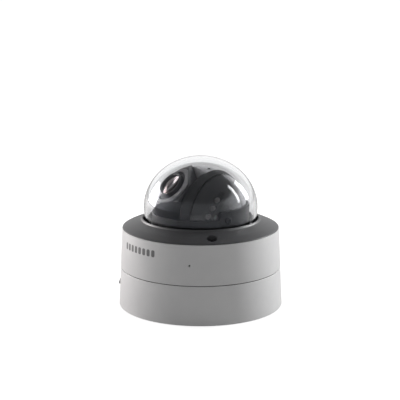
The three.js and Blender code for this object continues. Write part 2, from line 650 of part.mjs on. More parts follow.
// Shroud: the ball's front, open behind, with a flat nose, three flat sides and the infrared side cut away.
const shroudLevel = BEZEL_LEVEL - BEZEL_THICK - GAP;
const irSide = beyond(irAxis, IR_INNER_LEVEL - GAP);
const shroudBody = cut(
  ball(BALL_RADIUS),
  beyond(FORWARD, shroudLevel),
  beyond(opposite(splitAxis), -SPLIT_LEVEL - GAP),
  irSide,
  ...flats(FLAT_DISTANCE),
);
const shroudHollow = cut(
  ball(BALL_RADIUS - SHELL_WALL),
  beyond(FORWARD, shroudLevel - SHELL_WALL),
  ...flats(FLAT_DISTANCE - SHELL_WALL),
);
const shroudMouth = rod(BEZEL_BORE + 0.5, BALL_RADIUS / 2, BALL_RADIUS, MEDIUM).translate(LENS_OFFSET, 0, 0);
piece(eyeball, "lens_shroud", cut(shroudBody, shroudHollow, shroudMouth), GREY_PLASTIC);

// Bezel: a flat plate on the shroud's nose with the same outline.
const bezelBody = cut(
  ball(BALL_RADIUS),
  beyond(FORWARD, BEZEL_LEVEL),
  beyond(opposite(FORWARD), -shroudLevel - GAP),
  irSide,
  ...flats(FLAT_DISTANCE),
);
const bezelOutline = washer(BEZEL_RADIUS, 2 * BALL_RADIUS, 0, 2 * BALL_RADIUS).translate(LENS_OFFSET, 0, 0);
const bezelBore = rod(BEZEL_BORE, 0, 2 * BALL_RADIUS, MEDIUM).translate(LENS_OFFSET, 0, 0);
piece(eyeball, "lens_bezel", cut(bezelBody, bezelOutline, bezelBore), GREY_PLASTIC);

// Tilt bracket: the ball's back, a little below the shroud's surface. A web behind the shroud closes its
// front round the lens, and it has a pivot hole and a screw hole.
const bracketRadius = BALL_RADIUS - BRACKET_RECESS;
const eyePivotBore = rod(PIVOT_SHANK + GAP, 0, 2 * BALL_RADIUS).rotateY(Math.PI / 2);
const screwDirection = new THREE.Vector3(9.5, 31, 24.5).normalize();
const screwHole = rod(SCREW_SHANK, 0, 2 * BALL_RADIUS);
screwHole.applyQuaternion(new THREE.Quaternion().setFromUnitVectors(FORWARD, screwDirection));
const bracketInner = bracketRadius - SHELL_WALL;
const lensPrism = cut(ball(2 * BALL_RADIUS), ...flats(FLAT_DISTANCE - SHELL_WALL));
const bracketWeb = cut(beyond(splitAxis, SPLIT_LEVEL - SHELL_WALL), lensPrism, irSide);
const bracket = cut(
  ball(bracketRadius),
  beyond(splitAxis, SPLIT_LEVEL),
  beyond(irAxis, IR_BAND_LEVEL - GAP),
  cut(ball(bracketInner), bracketWeb),
  eyePivotBore.clone().rotateY(Math.PI),
  screwHole,
);
piece(eyeball, "tilt_bracket", bracket, LIGHT_CASTING);

// Infrared housing: a black band of the ball whose floor carries the lamp board. Its narrower neck reaches
// inside the bracket.
const neckRadius = bracketInner - 2 * GAP;
const irFloorLevel = IR_WINDOW_LEVEL - IR_FLOOR;
const irHollow = cut(ball(neckRadius - SHELL_WALL), beyond(irAxis, irFloorLevel));
const irNeck = cut(ball(neckRadius), beyond(irAxis, irFloorLevel), beyond(opposite(irAxis), -IR_INNER_LEVEL));
const irRim = cut(
  ball(BALL_RADIUS),
  beyond(irAxis, IR_WINDOW_LEVEL),
  beyond(opposite(irAxis), -IR_BAND_LEVEL),
);
const irBand = cut(joined(irRim, irNeck), irHollow);
const WIRE_HOLE = 2.5;
const irWireHole = rod(WIRE_HOLE, 0, 2 * BALL_RADIUS).rotateY(Math.PI / 2).rotateY(radians(IR_TURN_BACK));
piece(eyeball, "ir_housing", cut(irBand, irWireHole), BLACK_PLASTIC);
const irWindow = cut(
  ball(BALL_RADIUS),
  beyond(opposite(irAxis), -IR_WINDOW_LEVEL - GAP),
  ball(BALL_RADIUS - SHELL_WALL),
  eyePivotBore,
);
piece(eyeball, "ir_window", irWindow, SMOKED_WINDOW);

// Lamp strip inside the window, in the segment's own axes: X along its axis and Z the way the lamps shine.
const irGroup = new THREE.Group();
irGroup.rotation.copy(irTurn);
eyeball.add(irGroup);
const STRIP = { x: 25.2, width: 6.4, low: 12.0, thick: 1.6, from: -15.2, to: 16.4 };
const LAMP = { first: -10.0, pitch: 8.75, count: 3, radius: 2.7, side: 1.8, shoulder: 1.9, height: 3.2 };
const strip = new THREE.BoxGeometry(STRIP.width, STRIP.to - STRIP.from, STRIP.thick);
piece(irGroup, "ir_board", strip, BOARD_GREEN)
  .position.set(STRIP.x, (STRIP.from + STRIP.to) / 2, STRIP.low + STRIP.thick / 2);
const lampProfile = [
  [0, 0],
  [LAMP.radius, 0],
  [LAMP.radius, LAMP.side],
  [LAMP.shoulder, LAMP.side + 1],
  [0, LAMP.height],
];
for (let i = 0; i < LAMP.count; i++) {
  piece(irGroup, `ir_lamp_${i + 1}`, turned(lampProfile, 16), LAMP_DIE)
    .position.set(STRIP.x, LAMP.first + i * LAMP.pitch, STRIP.low + STRIP.thick + GAP);
}

// Tilt pivots: shoulder screws from outside the collar into the eyeball's two poles.
const PIVOT_HEAD = { radius: 3.2, height: 1.5, recess: 1.4 };
const pivotLength = collarOuter + GAP - (bracketRadius - SHELL_WALL - 1);
[TILT_AZIMUTH, TILT_AZIMUTH + 180].forEach((azimuth, i) => {
  const { radius, height, recess } = PIVOT_HEAD;
  const pin = joined(rod(radius, 0, height, 12), rod(PIVOT_SHANK, -pivotLength, height / 2));
  const mesh = piece(camera, `tilt_pivot_${i + 1}`, cut(pin, rod(recess, height / 2, height + 1, 6)), STEEL);
  mesh.quaternion.setFromUnitVectors(FORWARD, polar(azimuth, 1));
  mesh.position.copy(polar(azimuth, collarOuter + GAP, ballCentre));
});

// ---------------------------------------------------------------- lens unit: turns about the lens axis
const lensUnit = new THREE.Group();
lensUnit.position.x = LENS_OFFSET;
eyeball.add(lensUnit);
const BARREL = { rear: 9.8, front: 15.2, nose: 12.85, rearBore: 7.4, frontBore: 9.4, back: -12, waist: 8 };
const NOSE_PROUD = 2.4; // nose in front of the bezel
const noseTop = BEZEL_LEVEL + NOSE_PROUD;
const glassSeat = noseTop - 3.4;
const barrelProfile = [
  [BARREL.rearBore, BARREL.back],
  [BARREL.rear, BARREL.back],
  [BARREL.rear, BARREL.waist - 1.5],
  [BARREL.front, BARREL.waist],
  [BARREL.front, BEZEL_LEVEL - 2.1],
  [BARREL.nose, BEZEL_LEVEL - 2.1],
  [BARREL.nose, noseTop],
  [BARREL.nose - 1.6, noseTop],
  [BARREL.frontBore + 1, noseTop - 1.2],
  [BARREL.frontBore + 1, glassSeat],
  [BARREL.frontBore, glassSeat],
  [BARREL.frontBore, BARREL.waist + 2],
  [BARREL.rearBore, BARREL.waist + 2],
];
const SENSOR_LEVEL = BARREL.back - 5;
const PILLAR_OFFSET = (BARREL.rear + BARREL.rearBore) / 2;
const pillars = [1, -1].map((side) => {
  return rod(1.2, SENSOR_LEVEL + GAP, BARREL.back + 1).translate(0, side * PILLAR_OFFSET, 0);
});
piece(lensUnit, "lens_barrel", joined(turned(barrelProfile, MEDIUM), ...pillars), BLACK_PLASTIC);

const glassRadius = BARREL.frontBore + 1 - GAP;
const glassLow = glassSeat + GAP;
const frontGlassProfile = [
  [0, glassLow],
  [glassRadius, glassLow],
  [glassRadius, glassLow + 1.4],
  [glassRadius * 0.64, glassLow + 2.2],
  [0, glassLow + 2.6],
];
piece(lensUnit, "front_glass", turned(frontGlassProfile, MEDIUM), LENS_GLASS);

// Zoom and focus cells slide in the barrel's bore.
const ZOOM = { low: 20, high: 26, bore: 6 };
const FOCUS = { low: 0, high: 6, bore: 4.5 };
const zoomCell = washer(ZOOM.bore, BARREL.frontBore - GAP, ZOOM.low, ZOOM.high, 24);
piece(lensUnit, "zoom_cell", zoomCell, BLACK_PLASTIC);
const elementRadius = ZOOM.bore - GAP;
const zoomElementProfile = [
  [0, ZOOM.low + 1],
  [elementRadius, ZOOM.low + 2],
  [elementRadius, ZOOM.low + 4],
  [elementRadius / 2, ZOOM.high - 0.8],
  [0, ZOOM.high - 0.3],
];
piece(lensUnit, "zoom_element", turned(zoomElementProfile, 20), LENS_GLASS);
const focusCell = washer(FOCUS.bore, BARREL.rearBore - GAP, FOCUS.low, FOCUS.high, 24);
piece(lensUnit, "focus_cell", focusCell, BLACK_PLASTIC);
const focusRadius = FOCUS.bore - GAP;
const focusElement = turned(
  [[0, FOCUS.low + 1], [focusRadius, FOCUS.low + 2], [focusRadius, FOCUS.high - 2], [0, FOCUS.high - 1]],
  16,
);
piece(lensUnit, "focus_element", focusElement, LENS_GLASS);

// The infrared cut filter slides across behind the barrel, in front of the sensor.
const FILTER = { length: 14, width: 9, thick: 1.0 };
const filterLow = BARREL.back - 2 * GAP - FILTER.thick;
const filter = block(FILTER.length, FILTER.width, filterLow, filterLow + FILTER.thick);
piece(lensUnit, "ir_cut_filter", filter, LENS_GLASS);
const SENSOR = { board: 20, length: 9, width: 7, thick: 1.2 };
const sensorBoard = block(SENSOR.board, SENSOR.board, SENSOR_LEVEL - BOARD_THICK, SENSOR_LEVEL);
piece(lensUnit, "sensor_board", sensorBoard, BOARD_GREEN);
const sensorLow = SENSOR_LEVEL + GAP;
const sensor = block(SENSOR.length, SENSOR.width, sensorLow, sensorLow + SENSOR.thick);
piece(lensUnit, "image_sensor", sensor, BLACK_PLASTIC);

// Stepper motors beside the rear barrel, one for zoom and one for focus.
const MOTOR = { radius: 2.9, low: -8, high: 5 };
const motorOffset = BARREL.rear + GAP + MOTOR.radius;
["zoom_motor", "focus_motor"].forEach((name, i) => {
  const mesh = piece(lensUnit, name, rod(MOTOR.radius, MOTOR.low, MOTOR.high, 16), STEEL);
  mesh.position.y = i ? -motorOffset : motorOffset;
});

export default camera;
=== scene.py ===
import bmesh
import bpy
import numpy as np
from mathutils import Matrix, Vector


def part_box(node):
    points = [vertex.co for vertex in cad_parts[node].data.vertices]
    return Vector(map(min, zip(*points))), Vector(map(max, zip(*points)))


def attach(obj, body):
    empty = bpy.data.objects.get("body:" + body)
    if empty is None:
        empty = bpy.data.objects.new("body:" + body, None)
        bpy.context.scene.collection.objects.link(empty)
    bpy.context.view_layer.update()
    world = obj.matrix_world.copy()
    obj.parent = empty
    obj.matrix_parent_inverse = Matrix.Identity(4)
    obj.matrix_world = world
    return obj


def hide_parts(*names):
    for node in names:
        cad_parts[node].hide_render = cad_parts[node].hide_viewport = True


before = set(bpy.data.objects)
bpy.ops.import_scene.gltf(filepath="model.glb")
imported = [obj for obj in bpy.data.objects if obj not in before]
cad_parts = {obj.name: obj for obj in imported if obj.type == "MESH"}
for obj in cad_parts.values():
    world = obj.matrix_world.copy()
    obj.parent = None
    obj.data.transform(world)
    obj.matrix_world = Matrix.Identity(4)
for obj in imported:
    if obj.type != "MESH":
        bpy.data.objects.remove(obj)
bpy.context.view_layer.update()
MM = 0.001

# ---------------------------------------------------------------- studio
# A light tent over white paper: bright at both sides and low behind, with a dark ceiling and a dark front. A
# wide soft box stands on the left and a narrow one on the right, both a little behind the object.
TARGET = Vector((0, 0, 97.7)) * MM
CAMERA_DISTANCE = 1072 * MM
CAMERA_ELEVATION = np.radians(12.0)
SENSOR = 36.0
LENS = 103.8

eye = TARGET + CAMERA_DISTANCE * Vector((0, -np.cos(CAMERA_ELEVATION), np.sin(CAMERA_ELEVATION)))
camera_data = bpy.data.cameras.new("camera")
camera_data.lens = LENS
camera_data.sensor_width = SENSOR
camera_data.shift_x = -0.0016
camera = bpy.data.objects.new("camera", camera_data)
camera.location = eye
camera.rotation_euler = (TARGET - eye).to_track_quat("-Z", "Y").to_euler()
bpy.context.scene.collection.objects.link(camera)
bpy.context.scene.camera = camera
bpy.context.scene.view_settings.view_transform = "Standard"


class Net:
    """One output of a node tree. Arithmetic with numbers and other outputs adds the Math nodes for it."""

    def __init__(self, tree, socket):
        self.tree = tree
        self.socket = socket

    def node(self, kind, settings, inputs, output=0):
        """Adds a node: first its settings, or a ramp's stops, then the values or links of its inputs."""
        made = self.tree.nodes.new(kind)
        for name, value in settings.items():
            if name == "stops":
                ramp = made.color_ramp.elements
                while len(ramp) < len(value):
                    ramp.new(0.5)
                for element, (position, colour) in zip(ramp, value):
                    element.position = position
                    element.color = (*colour, 1) if isinstance(colour, tuple) else (colour,) * 3 + (1,)
            else:
                setattr(made, name, value)
        for name, value in inputs.items():
            if isinstance(value, Net):
                self.tree.links.new(value.socket, made.inputs[name])
            else:
                made.inputs[name].default_value = value
        return Net(self.tree, made.outputs[output])

    def maths(self, operation, *values):
        return self.node("ShaderNodeMath", {"operation": operation}, dict(enumerate(values)))

    def __add__(self, other):
        return self.maths("ADD", self, other)

    def __sub__(self, other):
        return self.maths("SUBTRACT", self, other)

    def __rsub__(self, other):
        return self.maths("SUBTRACT", other, self)

    def __mul__(self, other):
        return self.maths("MULTIPLY", self, other)

    def __truediv__(self, other):
        return self.maths("DIVIDE", self, other)

    __radd__ = __add__
    __rmul__ = __mul__

    def between(self, low, high):
        """0 below low and 1 above high, with a smooth step."""
        return self.node(
            "ShaderNodeMapRange",
            {"interpolation_type": "SMOOTHSTEP"},
            {"Value": self, "From Min": low, "From Max": high},
        )

    def mixed(self, first, second):
        """A colour that goes from first to second as this output goes from 0 to 1."""
        return self.node(
            "ShaderNodeMix", {"data_type": "RGBA"}, {"Factor": self, 6: first, 7: second}, output=2
        )


SIDE_LIGHT = 1.6
BACK_LIGHT = 1.0
FRONT_LIGHT = 0.4
CEILING_LIGHT = 0.2

world = bpy.data.worlds.new("light_tent")
world.use_nodes = True
bpy.context.scene.world = world
tent = Net(world.node_tree, None)
direction = tent.node("ShaderNodeTexCoord", {}, {}, output="Generated")
toward_y = tent.node("ShaderNodeSeparateXYZ", {}, {0: direction}, output="Y")
toward_z = tent.node("ShaderNodeSeparateXYZ", {}, {0: direction}, output="Z")
wall = FRONT_LIGHT + (SIDE_LIGHT - FRONT_LIGHT) * toward_y.between(-0.7, 0.1)
wall = wall + (BACK_LIGHT - SIDE_LIGHT) * toward_y.between(0.2, 0.8)
# The ceiling begins about 27 degrees up, and higher straight behind.
BACK_RISE = 0.22
behind = toward_y.between(0.6, 0.75)
ceiling = (toward_z - BACK_RISE * behind).between(0.4, 0.5)
brightness = wall * (1 - ceiling) + CEILING_LIGHT * ceiling
background = world.node_tree.nodes["Background"]
world.node_tree.links.new(brightness.socket, background.inputs["Strength"])
background.inputs["Color"].default_value = (1.0, 1.0, 1.0, 1)


BOX_DISTANCE = 1.5


def soft_box(name, azimuth, elevation, width, height, power, colour):
    """A rectangular area light that stands at an azimuth and an elevation and faces the middle. Its sizes are
    in metres."""
    light = bpy.data.lights.new(name, "AREA")
    light.shape = "RECTANGLE"
    light.size = width
    light.size_y = height
    light.energy = power
    light.color = colour
    lamp = bpy.data.objects.new(name, light)
    turn, rise = np.radians(azimuth), np.radians(elevation)
    away = Vector((np.sin(turn) * np.cos(rise), -np.cos(turn) * np.cos(rise), np.sin(rise)))
    lamp.location = TARGET + away * BOX_DISTANCE
    lamp.rotation_euler = away.to_track_quat("Z", "Y").to_euler()
    bpy.context.scene.collection.objects.link(lamp)


soft_box("left_box", -118, 11, 0.8, 0.65, 17, (1.0, 0.95, 0.94))
soft_box("right_box", 114, 22, 0.2, 0.8, 17, (1.0, 1.0, 1.0))

# The paper glows a little for what the camera sees directly or through the dome, so it stays white there.
FLOOR_SIDE = 30.0
floor_mesh = bpy.data.meshes.new("floor")
FLOOR_DROP = 0.4
corners = np.array([(-1, -1, 0), (1, -1, 0), (1, 1, 0), (-1, 1, 0)]) * FLOOR_SIDE / 2
floor_mesh.from_pydata(corners - np.array([0, 0, FLOOR_DROP * MM]), [], [(0, 1, 2, 3)])
floor = bpy.data.objects.new("floor", floor_mesh)
bpy.context.scene.collection.objects.link(floor)
paper = bpy.data.materials.new("paper")
paper.use_nodes = True
sheet = Net(paper.node_tree, None)
seen = sheet.node("ShaderNodeLightPath", {}, {}, output="Is Camera Ray")
seen_through = sheet.node("ShaderNodeLightPath", {}, {}, output="Is Transmission Ray")
paper_shader = paper.node_tree.nodes["Principled BSDF"]
paper_shader.inputs["Base Color"].default_value = (0.34, 0.34, 0.34, 1)
paper_shader.inputs["Roughness"].default_value = 0.9
paper_shader.inputs["Emission Color"].default_value = (1, 1, 1, 1)
paper_glow = 0.86 * seen + 0.4 * seen_through
paper.node_tree.links.new(paper_glow.socket, paper_shader.inputs["Emission Strength"])
floor_mesh.materials.append(paper)

# ---------------------------------------------------------------- mounting plate
# A pressed steel disc, zinc plated, that screws to the wall or ceiling through four slots. The cable comes
# through its centre.
def finish(name, colour, roughness, **constants):
    """A new material of one colour and roughness, with any other constant of its shader. Returns it and the
    net of its Object coordinates."""
    material = bpy.data.materials.new(name)
    material.use_nodes = True
    shader = material.node_tree.nodes["Principled BSDF"]
    shader.inputs["Base Color"].default_value = (*colour, 1)
    shader.inputs["Roughness"].default_value = roughness
    for socket, value in constants.items():
        shader.inputs[socket.replace("_", " ").title().replace("Ior", "IOR")].default_value = value
    net = Net(material.node_tree, None)
    return material, net.node("ShaderNodeTexCoord", {}, {}, output="Object")


def drive(material, **nets):
    """Links nets to a material's shader sockets."""
    shader = material.node_tree.nodes["Principled BSDF"]
    for socket, net in nets.items():
        material.node_tree.links.new(net.socket, shader.inputs[socket.replace("_", " ").title()])


def noise(place, size, detail=3.0, roughness=0.5):
    """Cloudy variation from 0 to 1 whose patches are about size millimetres across."""
    settings = {"Vector": place, "Scale": 1 / (size * MM), "Detail": detail, "Roughness": roughness}
    return place.node("ShaderNodeTexNoise", {}, settings)


def bumped(height, depth):
    """A normal whose surface rises by depth millimetres as height goes from 0 to 1."""
    return height.node("ShaderNodeBump", {}, {"Height": height, "Distance": depth * MM, "Strength": 1.0})


def turned(profile, places=192):
    """A profile of (radius, height) points turned about Z: rows follow the profile and columns go round."""
    profile = np.array(profile, float)
    angle = np.linspace(0, 2 * np.pi, places, endpoint=False)
    radius = profile[:, 0, None]
    height = np.broadcast_to(profile[:, 1, None], (len(profile), places))
    return np.stack([radius * np.sin(angle), -radius * np.cos(angle), height], axis=-1)


def eased(corners, radius, steps=4):
    """A closed outline whose corners are rounded: each becomes a quadratic curve that starts and ends on its
    two sides, at most radius millimetres or 0.45 of the side away."""
    corners = np.array(corners, float)
    share = np.linspace(0, 1, steps + 1)[:, None]
    outline = []
    for before, corner, after in zip(np.roll(corners, 1, 0), corners, np.roll(corners, -1, 0)):
        if corner[0] < 1e-6:
            outline.append(corner[None])
            continue
        ends = []
        for other in (before, after):
            side = np.linalg.norm(other - corner)
            ends.append(corner + (other - corner) * min(radius / side, 0.45))
        outline.append(
            (1 - share) ** 2 * ends[0] + 2 * share * (1 - share) * corner + share**2 * ends[1]
        )
    return np.concatenate(outline)


def skin(name, points, close_rows=True, close_columns=True):
    """A mesh object over a grid of points in millimetres. Four neighbours share a face, and a closed
    direction joins its last line to its first. Points in one place become one, and faces turn outwards."""
    index = np.arange(points.shape[0] * points.shape[1]).reshape(points.shape[:2])
    poled = np.ptp(points[[0, -1]], axis=1).max() < 1e-9
    if close_rows and not poled:
        index = np.vstack([index, index[:1]])
    if close_columns:
        index = np.hstack([index, index[:, :1]])
    faces = np.stack([index[:-1, :-1], index[1:, :-1], index[1:, 1:], index[:-1, 1:]], axis=-1)
    mesh = bpy.data.meshes.new(name)
    mesh.from_pydata(points.reshape(-1, 3) * MM, [], faces.reshape(-1, 4))
    shape = bmesh.new()
    shape.from_mesh(mesh)
    bmesh.ops.remove_doubles(shape, verts=shape.verts, dist=1e-7)
    bmesh.ops.recalc_face_normals(shape, faces=shape.faces)
    shape.to_mesh(mesh)
    shape.free()
    made = bpy.data.objects.new(name, mesh)
    bpy.context.scene.collection.objects.link(made)
    return made


SHARP = np.radians(35)


def fitted(piece, material, slot, body, *nodes):
    """Gives a piece its finish, and puts it on its body in place of its CAD nodes."""
    piece.data.materials.clear()
    piece.data.materials.append(material)
    piece.data.shade_smooth()
    piece.data.set_sharp_from_angle(angle=SHARP)
    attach(piece, body)
    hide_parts(*nodes)
    return piece


def carved(piece, *tools, operation="DIFFERENCE"):
    """Cuts the tools out of a piece, or joins them to it, and removes them."""
    for tool in tools:
        cut = piece.modifiers.new("cut", "BOOLEAN")
        cut.object = tool
        cut.operation = operation
        cut.solver = "EXACT"
    bpy.context.view_layer.update()
    shown = piece.evaluated_get(bpy.context.evaluated_depsgraph_get())
    mesh = bpy.data.meshes.new_from_object(shown)
    piece.modifiers.clear()
    piece.data = mesh
    for tool in tools:
        bpy.data.objects.remove(tool)
    return piece


def shifted(points, x=0.0, y=0.0, z=0.0):
    return points + np.array([x, y, z])


def around(azimuth, radius, z=0.0):
    """The point at an azimuth, a radius and a height."""
    turn = np.radians(azimuth)
    return np.array([radius * np.sin(turn), -radius * np.cos(turn), z])


def rod(radius, low, high, places=48):
    """A closed cylinder's grid, with its ends on the axis."""
    return turned([(0, low), (radius, low), (radius, high), (0, high)], places)


def size_of(node):
    """A CAD node's lowest and highest corner in millimetres."""
    low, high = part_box(node)
    return np.array(low) / MM, np.array(high) / MM


# Plated steel: a fine rolled grain, cloudy plating and a few darker stains.
plated, place = finish("plated_steel", (0.55, 0.56, 0.57), 0.38, metallic=1.0)
grain = place.node("ShaderNodeMapping", {}, {"Vector": place, "Scale": (1, 12, 1)})
grain = noise(grain, 1.2, 4.0)
cloud = noise(place, 9, 4.0)
drive(
    plated,
    base_color=cloud.between(0.3, 0.7).mixed((0.47, 0.48, 0.49, 1), (0.62, 0.63, 0.64, 1)),
    roughness=0.28 + 0.2 * grain + 0.1 * cloud,
    normal=bumped(grain, 0.006),
)

plate_low, plate_high = size_of("mounting_plate")
PLATE_BORE = 15.0
PLATE_SLOT = (4.8, 9.6)
PLATE_SLOT_CIRCLE = 50.0
plate_outline = [
    (PLATE_BORE, plate_low[2]),
    (plate_high[0], plate_low[2]),
    (plate_high[0], plate_high[2]),
    (PLATE_BORE, plate_high[2]),
]
plate = skin("mounting_plate_pressing", turned(eased(plate_outline, 0.4)))
slots = []
for azimuth in (45, 135, 225, 315):
    slot_x, slot_y, _ = around(azimuth, PLATE_SLOT_CIRCLE)
    slot_tool = turned(eased([(0, -1), (PLATE_SLOT[0] / 2, -1), (PLATE_SLOT[0] / 2, 4), (0, 4)], 0.01), 32)
    stretch = np.sign(slot_tool[..., 1:2]) * (PLATE_SLOT[1] - PLATE_SLOT[0]) / 2
    slot_tool = slot_tool + stretch * np.array([0, 1, 0])
    slots.append(skin("slot", shifted(slot_tool, slot_x, slot_y)))
carved(plate, *slots)
fitted(plate, plated, "steel", "housing", "mounting_plate")

# ---------------------------------------------------------------- lower drum
# A die-cast aluminium cup in satin white powder coat. Its thick rim has a groove for the cover's gasket, and
# posts on its floor carry the case screws and the chassis.
white_paint, place = finish("white_paint", (0.78, 0.78, 0.785), 0.42, coat_weight=0.12, coat_roughness=0.3)
peel = noise(place, 0.9, 3.0)
wear = noise(place, 26, 4.0, 0.6)
paint = wear.between(0.25, 0.75).mixed((0.755, 0.755, 0.76, 1), (0.795, 0.795, 0.795, 1))

# A row of plain rounded pads is printed in grey on the upper drum, left of the front.
MARK_PADS = 8
MARK_FROM = -67.0
MARK_SPAN = 34.0
MARK_LEVEL = 61.8
MARK_HALF = 3.1
PAD_HALF = 0.34
east, north, level = [place.node("ShaderNodeSeparateXYZ", {}, {0: place}, output=axis) for axis in range(3)]
turn = east.maths("ARCTAN2", east, 0 - north)
along = (turn - np.radians(MARK_FROM)) * (MARK_PADS / np.radians(MARK_SPAN))
across = (along.maths("FRACT", along) - 0.5) / PAD_HALF
upward = (level - MARK_LEVEL * MM) / (MARK_HALF * MM)
rounded = across.maths("POWER", across.maths("ABSOLUTE", across), 4.0)
rounded = rounded + upward.maths("POWER", upward.maths("ABSOLUTE", upward), 4.0)
pad = 1 - rounded.between(0.85, 1.15)
pad = pad * along.between(0.0, 0.1) * (1 - along.between(MARK_PADS - 0.1, MARK_PADS))
drive(
    white_paint,
    base_color=(pad * 0.85).mixed(paint, (0.09, 0.09, 0.095, 1)),
    roughness=0.36 + 0.08 * peel + 0.06 * wear,
    normal=bumped(peel, 0.014),
)

base_high = size_of("base_housing")[1]
drum_top = size_of("upper_cover")[1][2]
DRUM_FLARE = 3.5
foot_radius = base_high[0]
WALL = 3.0
GAP = 0.3
FLOOR_LOW = 2.3
FLOOR_HIGH = 5.3
CABLE_HOLE = 14.0
RIM_WIDTH = 5.3
RIM_DEPTH = 7.0
GROOVE_OUT = 1.1
GROOVE_WIDTH = 1.8
GROOVE_DEPTH = 1.6


def drum_radius(height):
    """The drum's outside: a straight cone from its foot to its rim."""
    return foot_radius - DRUM_FLARE * height / drum_top


base_top = base_high[2]
rim = drum_radius(base_top)
base_outline = [
    (CABLE_HOLE, FLOOR_LOW),
    (foot_radius - WALL, FLOOR_LOW),
    (foot_radius - WALL, 0),
    (foot_radius, 0),
    (rim, base_top),
    (rim - GROOVE_OUT, base_top),
    (rim - GROOVE_OUT, base_top - GROOVE_DEPTH),
    (rim - GROOVE_OUT - GROOVE_WIDTH, base_top - GROOVE_DEPTH),
    (rim - GROOVE_OUT - GROOVE_WIDTH, base_top),
    (rim - RIM_WIDTH, base_top),
    (rim - RIM_WIDTH, base_top - RIM_DEPTH),
    (rim - WALL, base_top - RIM_DEPTH - 3),
    (drum_radius(FLOOR_HIGH) - WALL, FLOOR_HIGH),
    (CABLE_HOLE, FLOOR_HIGH),
]
base = skin("base_casting", turned(eased(base_outline, 0.45), 256))

RING_SCREW_AZIMUTH = 8.7
CASE_SCREW_CIRCLE = 62.0
CHASSIS_SCREW_CIRCLE = 50.3
HOLE = 1.7
case_places = [around(RING_SCREW_AZIMUTH + 60 + 120 * i, CASE_SCREW_CIRCLE) for i in range(3)]
chassis_places = [around(60 + 120 * i, CHASSIS_SCREW_CIRCLE) for i in range(3)]
CASE_POST = (5.0, 14.0)
CHASSIS_POST = (4.0, 33.2)
CHASSIS_HOLE_DEPTH = 9.7
HEAD_BORE = (4.0, 5.5)
posts = [skin("post", rod(CASE_POST[0], FLOOR_HIGH - 1, CASE_POST[1]) + p) for p in case_places]
posts += [skin("post", rod(CHASSIS_POST[0], FLOOR_HIGH - 1, CHASSIS_POST[1]) + p) for p in chassis_places]
carved(base, *posts, operation="UNION")
holes = [skin("hole", rod(HEAD_BORE[0], 0, HEAD_BORE[1]) + p) for p in case_places]
holes += [skin("hole", rod(HOLE, 0, CASE_POST[1] + 1) + p) for p in case_places]
hole_foot = CHASSIS_POST[1] - CHASSIS_HOLE_DEPTH
holes += [skin("hole", rod(HOLE, hole_foot, CHASSIS_POST[1] + 0.8) + p) for p in chassis_places]


def laid(points, azimuth, radius, height):
    """Lays points that stand on Z along a radius: their Z points outwards from the drum's axis."""
    outward = around(azimuth, 1)
    sideways = np.array([-outward[1], outward[0], 0])
    axes = np.array([sideways, np.cross(outward, sideways), outward])
    return points @ axes + around(azimuth, radius, height)


SIDE_AZIMUTH = -94.0
SIDE_HEIGHT = 18.0
side_seat = drum_radius(SIDE_HEIGHT)
holes.append(skin("hole", laid(rod(HOLE, -8, 4), SIDE_AZIMUTH, side_seat, SIDE_HEIGHT)))
carved(base, *holes)
fitted(base, white_paint, "white_paint", "housing", "base_housing")

# ---------------------------------------------------------------- screws
# Stainless button-head screws with a six-lobed recess, a turned head and a fine thread: three that clamp the
# trim ring, three that hold the cover, and the small ones of the chassis, the board and the pan collar.
steel, place = finish("stainless_steel", (0.62, 0.62, 0.63), 0.28, metallic=1.0)
turning = noise(place, 0.35, 3.0)
drive(
    steel,
    base_color=turning.mixed((0.5, 0.5, 0.51, 1), (0.7, 0.7, 0.71, 1)),
    roughness=0.2 + 0.22 * turning,
    normal=bumped(turning, 0.004),
)


def lobed(radius, low, high, places=72):
    """A six-lobed prism: its radius swells and sinks by an eighth, six times a turn."""
    points = rod(radius, low, high, places)
    angle = np.arctan2(points[..., 1], points[..., 0])
    swell = 1 + 0.125 * np.cos(6 * angle)
    return points * np.stack([swell, swell, np.ones_like(swell)], axis=-1)


SHANK = 1.3
THREAD_PITCH = 0.6
THREAD_DEPTH = 0.12


def screw(name, head_radius, head_height, shank, recess=0.42):
    """A screw standing on its head's underside at z = 0. Its head is domed by an ellipse over a short
    straight side, and its thread is a row of ridges, one each pitch."""
    side = head_height * 0.35
    swing = np.linspace(0, np.pi / 2, 10)
    head = [(head_radius * np.cos(a), side + (head_height - side) * np.sin(a)) for a in swing[:-1]]
    ridges = np.arange(-0.8, -shank + 0.8, -THREAD_PITCH / 2)
    thread = [(SHANK - THREAD_DEPTH * (i % 2), z) for i, z in enumerate(ridges)]
    profile = [(0, -shank), (SHANK * 0.6, -shank), *thread[::-1], (SHANK, 0), (head_radius - 0.2, 0)]
    profile += [(head_radius, 0.2), *head, (0, head_height)]
    made = skin(name, turned(profile, 48))
    drive_tool = skin("recess", lobed(head_radius * recess, head_height * 0.4, head_height + 1))
    return carved(made, drive_tool)


def turned_over(piece):
    piece.data.transform(Matrix.Rotation(np.pi, 4, "X"))
    return piece


def put_at(piece, place):
    piece.data.transform(Matrix.Translation(Vector(place) * MM))
    return piece


# The ring screws and the tilt pivots are black oxide, worn a little on the turned edges.
black_steel, place = finish("black_oxide_steel", (0.03, 0.03, 0.032), 0.3, metallic=1.0)
turning = noise(place, 0.35, 3.0)
drive(
    black_steel,
    base_color=turning.between(0.45, 0.8).mixed((0.02, 0.02, 0.022, 1), (0.12, 0.12, 0.125, 1)),
    roughness=0.25 + 0.2 * turning,
    normal=bumped(turning, 0.003),
)

